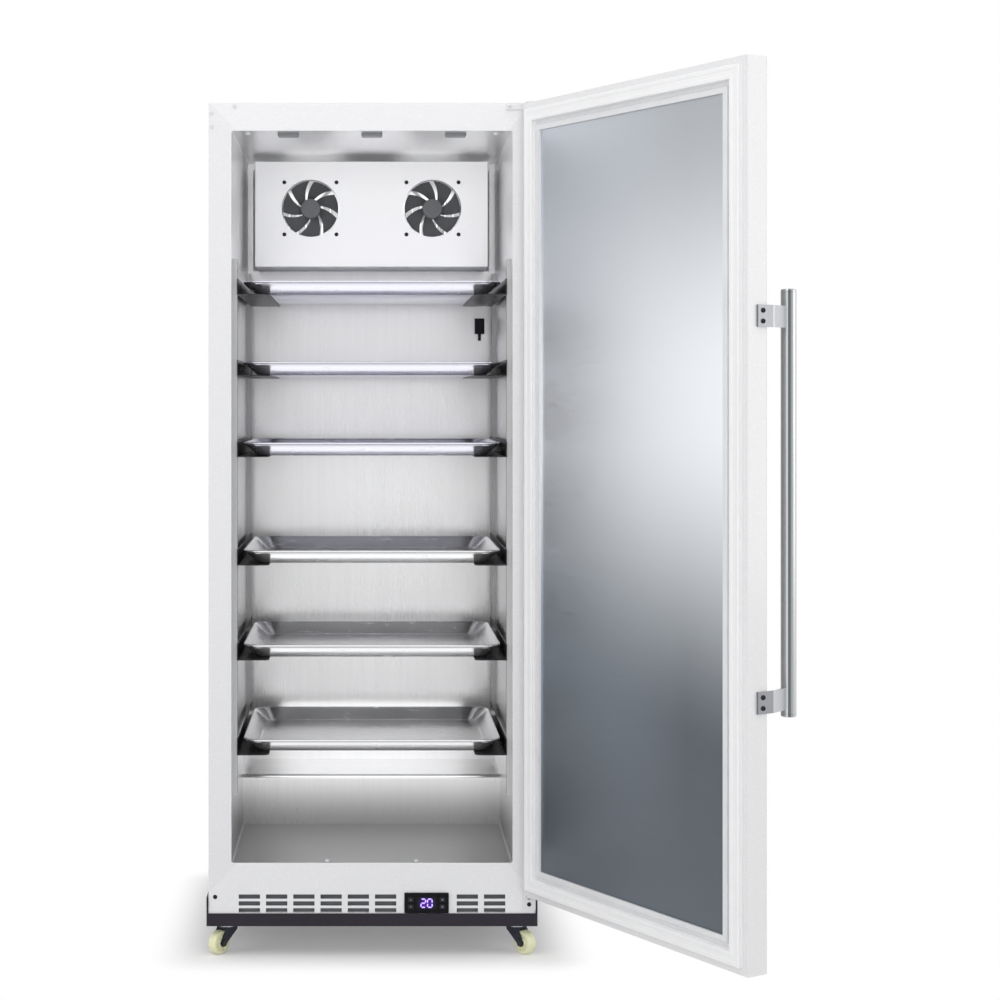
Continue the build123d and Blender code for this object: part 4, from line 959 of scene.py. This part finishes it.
# Hinges, cabinet screws and hole plugs. White steel brackets carry the pins that the door turns on;
# pan-head screws hold them, the fans and the grille, and nylon plugs close the unused holes.
def solids_of(node):
    """The lowest and highest corner of each separate solid in a CAD node."""
    work = bmesh.new()
    work.from_mesh(frame["nodes"][node].data)
    bmesh.ops.remove_doubles(work, verts=work.verts, dist=1e-5)
    seen, found = set(), []
    for first in work.verts:
        if first in seen:
            continue
        seen.add(first)
        reach, group = [first], []
        while reach:
            vert = reach.pop()
            group.append(vert.co.copy())
            for edge in vert.link_edges:
                other = edge.other_vert(vert)
                if other not in seen:
                    seen.add(other)
                    reach.append(other)
        found.append((Vector(map(min, zip(*group))), Vector(map(max, zip(*group)))))
    work.free()
    return found


hinge_white = enamel("hinge_enamel", (0.74, 0.74, 0.76))
dress(hinge_white, "hinge_bracket_top", "hinge_bracket_bottom")
dress(moulded("plug_nylon", (0.60, 0.61, 0.63), (0.30, 0.42)), "plug_caps")
screw_seat = 0.0022
screw_black = zinc("screw_black", (0.030, 0.030, 0.034))
screw_white = enamel("screw_enamel", (0.74, 0.74, 0.76))
top_bracket_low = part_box("hinge_bracket_top")[0].z
front_points = [((low.x + high.x) / 2, low.y + screw_seat, (low.z + high.z) / 2)
                for low, high in solids_of("cabinet_screws")]
for name, coat, spots in (
        ("cabinet_screw_heads", screw_black, [spot for spot in front_points if spot[2] < top_bracket_low]),
        ("hinge_screw_heads", screw_white, [spot for spot in front_points if spot[2] >= top_bracket_low])):
    heads = on_points.build(name, {"Item": screw_pattern, "Turn": towards_front, "Material": coat},
                            spots, smooth=40)
    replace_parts(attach(heads, "cabinet"), "cabinet_screws")


# Door. A white steel tray filled with foam, closed by a moulded white frame and a stainless
# inner panel. It was drawn shut, and hangs open here, turned about its hinge pin.
def door_steel():
    """Brushed panel with a painted reflection: pale above its middle, slate at its foot, paler low on the
    hinge side.
    """
    finish = Finish("door_panel_steel")
    low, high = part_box("door_inner_panel")
    hair = finish.noise(900, (0.02, 0.02, 1), 3.0)
    cloud = finish.noise(1.6)
    x, _, z = finish.axes()
    across = (x - low.x) / (high.x - low.x)
    up = (z - low.z) / (high.z - low.z)
    # Painted reflection: a pale band above the middle, slate towards the foot and the far edge.
    rise = finish.between(up, 0.29 - across * 0.09, across * 0.02 + 0.60, curve="SMOOTHSTEP")
    reflection_fall = finish.between(up, 0.64, 1.0, 1.0, 0.38, "SMOOTHSTEP")
    hinge_side_reflection = finish.between(across, 0.0, 0.8, 1.0, 0.0) * finish.between(up, 0.05, 0.28)
    slate = finish.tint(across, (0.190, 0.215, 0.245), (0.132, 0.149, 0.170))
    slate = finish.tint(hinge_side_reflection, slate, (0.40, 0.45, 0.51))
    body = finish.tint(rise * reflection_fall, slate, (0.93, 0.955, 0.985))
    return finish.closed(Base_Color=body, Metallic=1.0,
                         Roughness=finish.spread(hair, 0.34, 0.44) + (cloud - 0.5) * 0.05,
                         Normal=finish.bump(hair, 0.00002))


door_white = enamel("door_enamel", (0.78, 0.78, 0.79))
liner_white = moulded("door_frame_plastic", (0.70, 0.705, 0.72), (0.26, 0.36), 500, 0.00004)
dress(door_white, "door_outer_shell")
dress(liner_white, "door_inner_frame")
dress(door_steel(), "door_inner_panel")
dress(moulded("bush_acetal", (0.62, 0.62, 0.60)), "hinge_bushes")


# Door gasket. An extruded vinyl seal, its corners welded at 45 degrees, pushed into a groove of
# the door's frame: a foot, a folding bellows, and a soft box that holds the magnet strip.
pin = Vector(joints["door_hinge"]["pos_m"])
opened = radians(-joints["door_hinge"]["range_deg"][0])
swing = Matrix.Translation(pin) @ Matrix.Rotation(opened, 4, "Z") @ Matrix.Translation(-pin)
shut = swing.inverted()


def shut_box(node):
    """A door node's box in the door's own shut place."""
    spots = [shut @ v.co for v in frame["nodes"][node].data.vertices]
    return Vector(map(min, zip(*spots))), Vector(map(max, zip(*spots)))


def gasket_vinyl():
    finish = Finish("gasket_vinyl")
    cloud = finish.noise(30)
    grain = finish.noise(400)
    return finish.closed(Base_Color=finish.tint(cloud, (0.85, 0.85, 0.86), (0.90, 0.90, 0.905)),
                         Roughness=finish.spread(grain, 0.42, 0.55),
                         Normal=finish.bump(grain, 0.00006))


seal_low, seal_high = shut_box("door_gasket")
seal_width, seal_depth = 0.024, seal_high.y - seal_low.y
fold = [(0.0, 0.0), (0.0, 0.30), (0.05, 0.36), (0.07, 0.42), (0.03, 0.50), (0.03, 0.90), (0.08, 1.0),
        (0.30, 1.0), (0.35, 0.93), (0.65, 0.93), (0.70, 1.0), (0.92, 1.0), (0.97, 0.90), (0.97, 0.50),
        (0.93, 0.42), (0.95, 0.36), (1.0, 0.30), (1.0, 0.0)]
points = []
for inward, rise in fold:
    inset, y = inward * seal_width, seal_low.y + rise * seal_depth
    x0, x1 = seal_low.x + inset, seal_high.x - inset
    z0, z1 = seal_low.z + inset, seal_high.z - inset
    points += [swing @ Vector(corner) for corner in ((x0, y, z0), (x1, y, z0), (x1, y, z1), (x0, y, z1))]
gasket = shaped("gasket_seal", points, ring_faces(len(fold), 4, wrap=True), gasket_vinyl(), 25)
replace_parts(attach(gasket, "door"), "door_gasket")


# Handle. A brushed stainless tube with pressed end caps, welded to two bent plate brackets that
# are screwed to the door's free edge.
bar_low, bar_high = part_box("handle_bar")
# Painted reflection: the light and dark bands round the handle's girth.
reflection_band_turn = 0.068
reflection_band_tones = ((0.00, (0.40, 0.41, 0.42)), (0.25, (0.42, 0.43, 0.44)), (0.36, (0.56, 0.57, 0.58)),
              (0.42, (0.68, 0.69, 0.70)), (0.465, (0.68, 0.69, 0.70)), (0.485, (0.14, 0.16, 0.17)),
              (0.575, (0.14, 0.16, 0.17)), (0.60, (0.34, 0.35, 0.36)), (0.72, (0.44, 0.45, 0.46)),
              (0.85, (0.60, 0.61, 0.62)), (0.97, (0.64, 0.65, 0.66)), (1.00, (0.40, 0.41, 0.42)))


def satin_tube(name, centre):
    """Drawn and polished tube. Long light and dark bands of painted reflection run along it, twice round its
    girth.
    """
    finish = Finish(name)
    hair = finish.noise(900, upright, 3.0)
    x, y, _ = finish.axes()
    angle = finish.maths("ARCTAN2", y - centre.y, x - centre.x)
    girth = finish.maths("FRACT", angle * (1 / pi) + 2.0 + reflection_band_turn)
    body = finish.node("ShaderNodeValToRGB", {"stops": reflection_band_tones}, {"Fac": girth}, "Color")
    return finish.closed(Base_Color=body, Metallic=1.0,
                         Roughness=finish.spread(hair, 0.24, 0.34),
                         Normal=finish.bump(hair, 0.00002))


flange_end, arm_start = bar_low.x - 0.0210, bar_low.x - 0.0195


def bent_plate(name):
    """Brushed bracket steel: a painted highlight on the arm, painted shade on the flange that is screwed to
    the door.
    """
    finish = Finish(name)
    hair = finish.noise(900, (1, 1, 0.05), 3.0)
    # Painted light: the arm is made lighter than the flange of the same steel.
    arm = finish.between(finish.axes()[0], flange_end, arm_start)
    return finish.closed(Base_Color=finish.tint(arm, (0.280, 0.285, 0.300), (0.56, 0.57, 0.59)),
                         Metallic=1.0, Roughness=finish.spread(hair, 0.34, 0.44),
                         Normal=finish.bump(hair, 0.00002))


dress(bent_plate("bracket_steel"), "handle_brackets")
bar_radius = (bar_high.x - bar_low.x) / 2
bar_length = bar_high.z - bar_low.z
cap, groove = 0.0050, 0.0003
end = [(0.0, bar_radius * 0.55), (0.0003, bar_radius * 0.80), (0.0009, bar_radius * 0.93),
       (0.0019, bar_radius * 0.985), (0.0032, bar_radius), (cap, bar_radius),
       (cap + groove, bar_radius - groove), (cap + 2 * groove, bar_radius)]
bar_middle = (bar_low + bar_high) / 2
rod = turned("handle_tube", end + [(bar_length - along, radius) for along, radius in reversed(end)],
             Matrix.Translation((bar_middle.x, bar_middle.y, bar_low.z)),
             satin_tube("handle_steel", bar_middle), 64)
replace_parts(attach(rod, "door"), "handle_bar")
inward = swing.to_3x3() @ Vector((1, 0, 0))
handle_screw_length = 0.0142
head_depth = handle_screw_length / 2 - screw_seat
handle_points = [(low + high) / 2 - inward * head_depth for low, high in solids_of("handle_screws")]
heads = on_points.build("handle_screw_heads",
                        {"Item": screw_pattern, "Turn": tuple(seat_at((0, 0, 0), -inward).to_euler()),
                         "Material": screw_black}, handle_points, smooth=40)
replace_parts(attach(heads, "door"), "handle_screws")
put_away(screw_pattern)


# Studio. A white floor that keeps the refrigerator's soft shadow, a white surround, large soft
# lamps at a plain level, and small lamps inside for the light that the pale walls throw about.
def seen_directly(finish):
    """1 for rays from the camera, and for what metal and glass show."""
    rays = [finish.node("ShaderNodeLightPath", output=f"Is {kind} Ray")
            for kind in ("Camera", "Glossy", "Transmission")]
    return finish.maths("MINIMUM", rays[0] + rays[1] + rays[2], 1.0)


def white_room(level):
    """A white surround that lights the object at a level of its own."""
    room = Finish("studio", "worlds")
    strength = seen_directly(room) * (1 - level) + level
    light = room.node("ShaderNodeBackground", {}, {"Color": (1.0, 1.0, 1.0), "Strength": strength})
    room.node("ShaderNodeOutputWorld", {}, {"Surface": light})
    bpy.context.scene.world = room.owner


def studio_floor(fade, lift):
    """White floor: it takes the shadow round the object's foot, and fades into the surround."""
    finish = Finish("studio_floor")
    x, y, _ = finish.axes()
    beside = finish.maths("MAXIMUM", abs(x) - frame_high.x, 0.0)
    before = finish.maths("MAXIMUM", abs(y) + frame_low.y, 0.0)
    away = finish.between(finish.length(beside, before), 0.0, fade, curve="SMOOTHSTEP")
    seen = seen_directly(finish)
    painted = finish.node("ShaderNodeBsdfDiffuse", {}, {"Color": (0.80, 0.80, 0.80)})
    shine = finish.node("ShaderNodeEmission", {}, {"Color": (1, 1, 1), "Strength": seen * lift})
    both = finish.node("ShaderNodeAddShader", {}, {0: painted, 1: shine})
    bright = finish.node("ShaderNodeEmission", {}, {"Color": (1, 1, 1), "Strength": 1.0})
    mixed = finish.node("ShaderNodeMixShader", {}, {0: away * seen, 1: both, 2: bright})
    finish.node("ShaderNodeOutputMaterial", {}, {"Surface": mixed})
    return finish.owner


def soft_lamp(name, place, aim, size, power, mirrored=True):
    """An area lamp the camera doesn't see. One that isn't mirrored leaves metal its white room."""
    light = bpy.data.lights.new(name, "AREA")
    light.shape, light.size, light.size_y, light.energy = "RECTANGLE", size[0], size[1], power
    lamp = linked(name, light)
    lamp.location = place
    lamp.rotation_euler = (Vector(aim) - Vector(place)).to_track_quat("-Z", "Y").to_euler()
    lamp.visible_camera, lamp.visible_glossy = False, mirrored


white_room(0.48)
floor_half, shadow_reach, floor_lift = 14.0, 0.12, 0.19
ground = shaped("ground", [(-floor_half, -floor_half, 0), (floor_half, -floor_half, 0),
                           (floor_half, floor_half, 0), (-floor_half, floor_half, 0)],
                [(0, 1, 2, 3)], studio_floor(shadow_reach, floor_lift))
object_middle = (0, 0, 0.85)
soft_lamp("lamp_front", (-0.3, -5.0, 1.35), object_middle, (3.6, 2.4), 62, mirrored=False)
soft_lamp("lamp_top", (0.0, -1.4, 3.6), object_middle, (3.0, 3.0), 36)
soft_lamp("lamp_left", (-3.2, -2.0, 1.8), object_middle, (1.8, 2.4), 22)
soft_lamp("lamp_right", (3.4, -1.4, 1.6), object_middle, (1.8, 2.4), 22)
for side, x in (("left", -0.123), ("right", 0.123)):
    soft_lamp(f"duct_lamp_{side}", (x, 0.112, 1.408), (x, 0.30, 1.38), (0.12, 0.12), 0.09)
mouth_y = frame_low.y + 0.004
soft_lamp("opening_fill", (0, mouth_y, 0.800), (0, 0, 0.800), (0.49, 1.20), 0.32)
soft_lamp("cover_fill", (0, mouth_y, 1.44), (0, 0.07, 1.40), (0.46, 0.10), 0.13)
soft_lamp("ceiling_fill", (0, -0.09, 1.270), (0, -0.10, 1.50), (0.44, 0.30), 0.17)
soft_lamp("step_fill", (0, 0.02, 0.335), (0, 0.20, 0.27), (0.44, 0.055), 0.13)
camera_x, camera_gap, camera_height = -0.011, 3.568, 1.02
frame_side, horizon_row, shift_right = 1000, 401, 0.134
eye = bpy.data.cameras.new("camera")
eye.lens, eye.sensor_width = 70, 36
eye.shift_x, eye.shift_y = shift_right, (horizon_row - frame_side / 2) / frame_side
camera = linked("camera", eye)
camera.location = (camera_x, frame_low.y - camera_gap, camera_height)
camera.rotation_euler = (pi / 2, 0, 0)
bpy.context.scene.camera = camera
bpy.context.scene.view_settings.view_transform = "Standard"
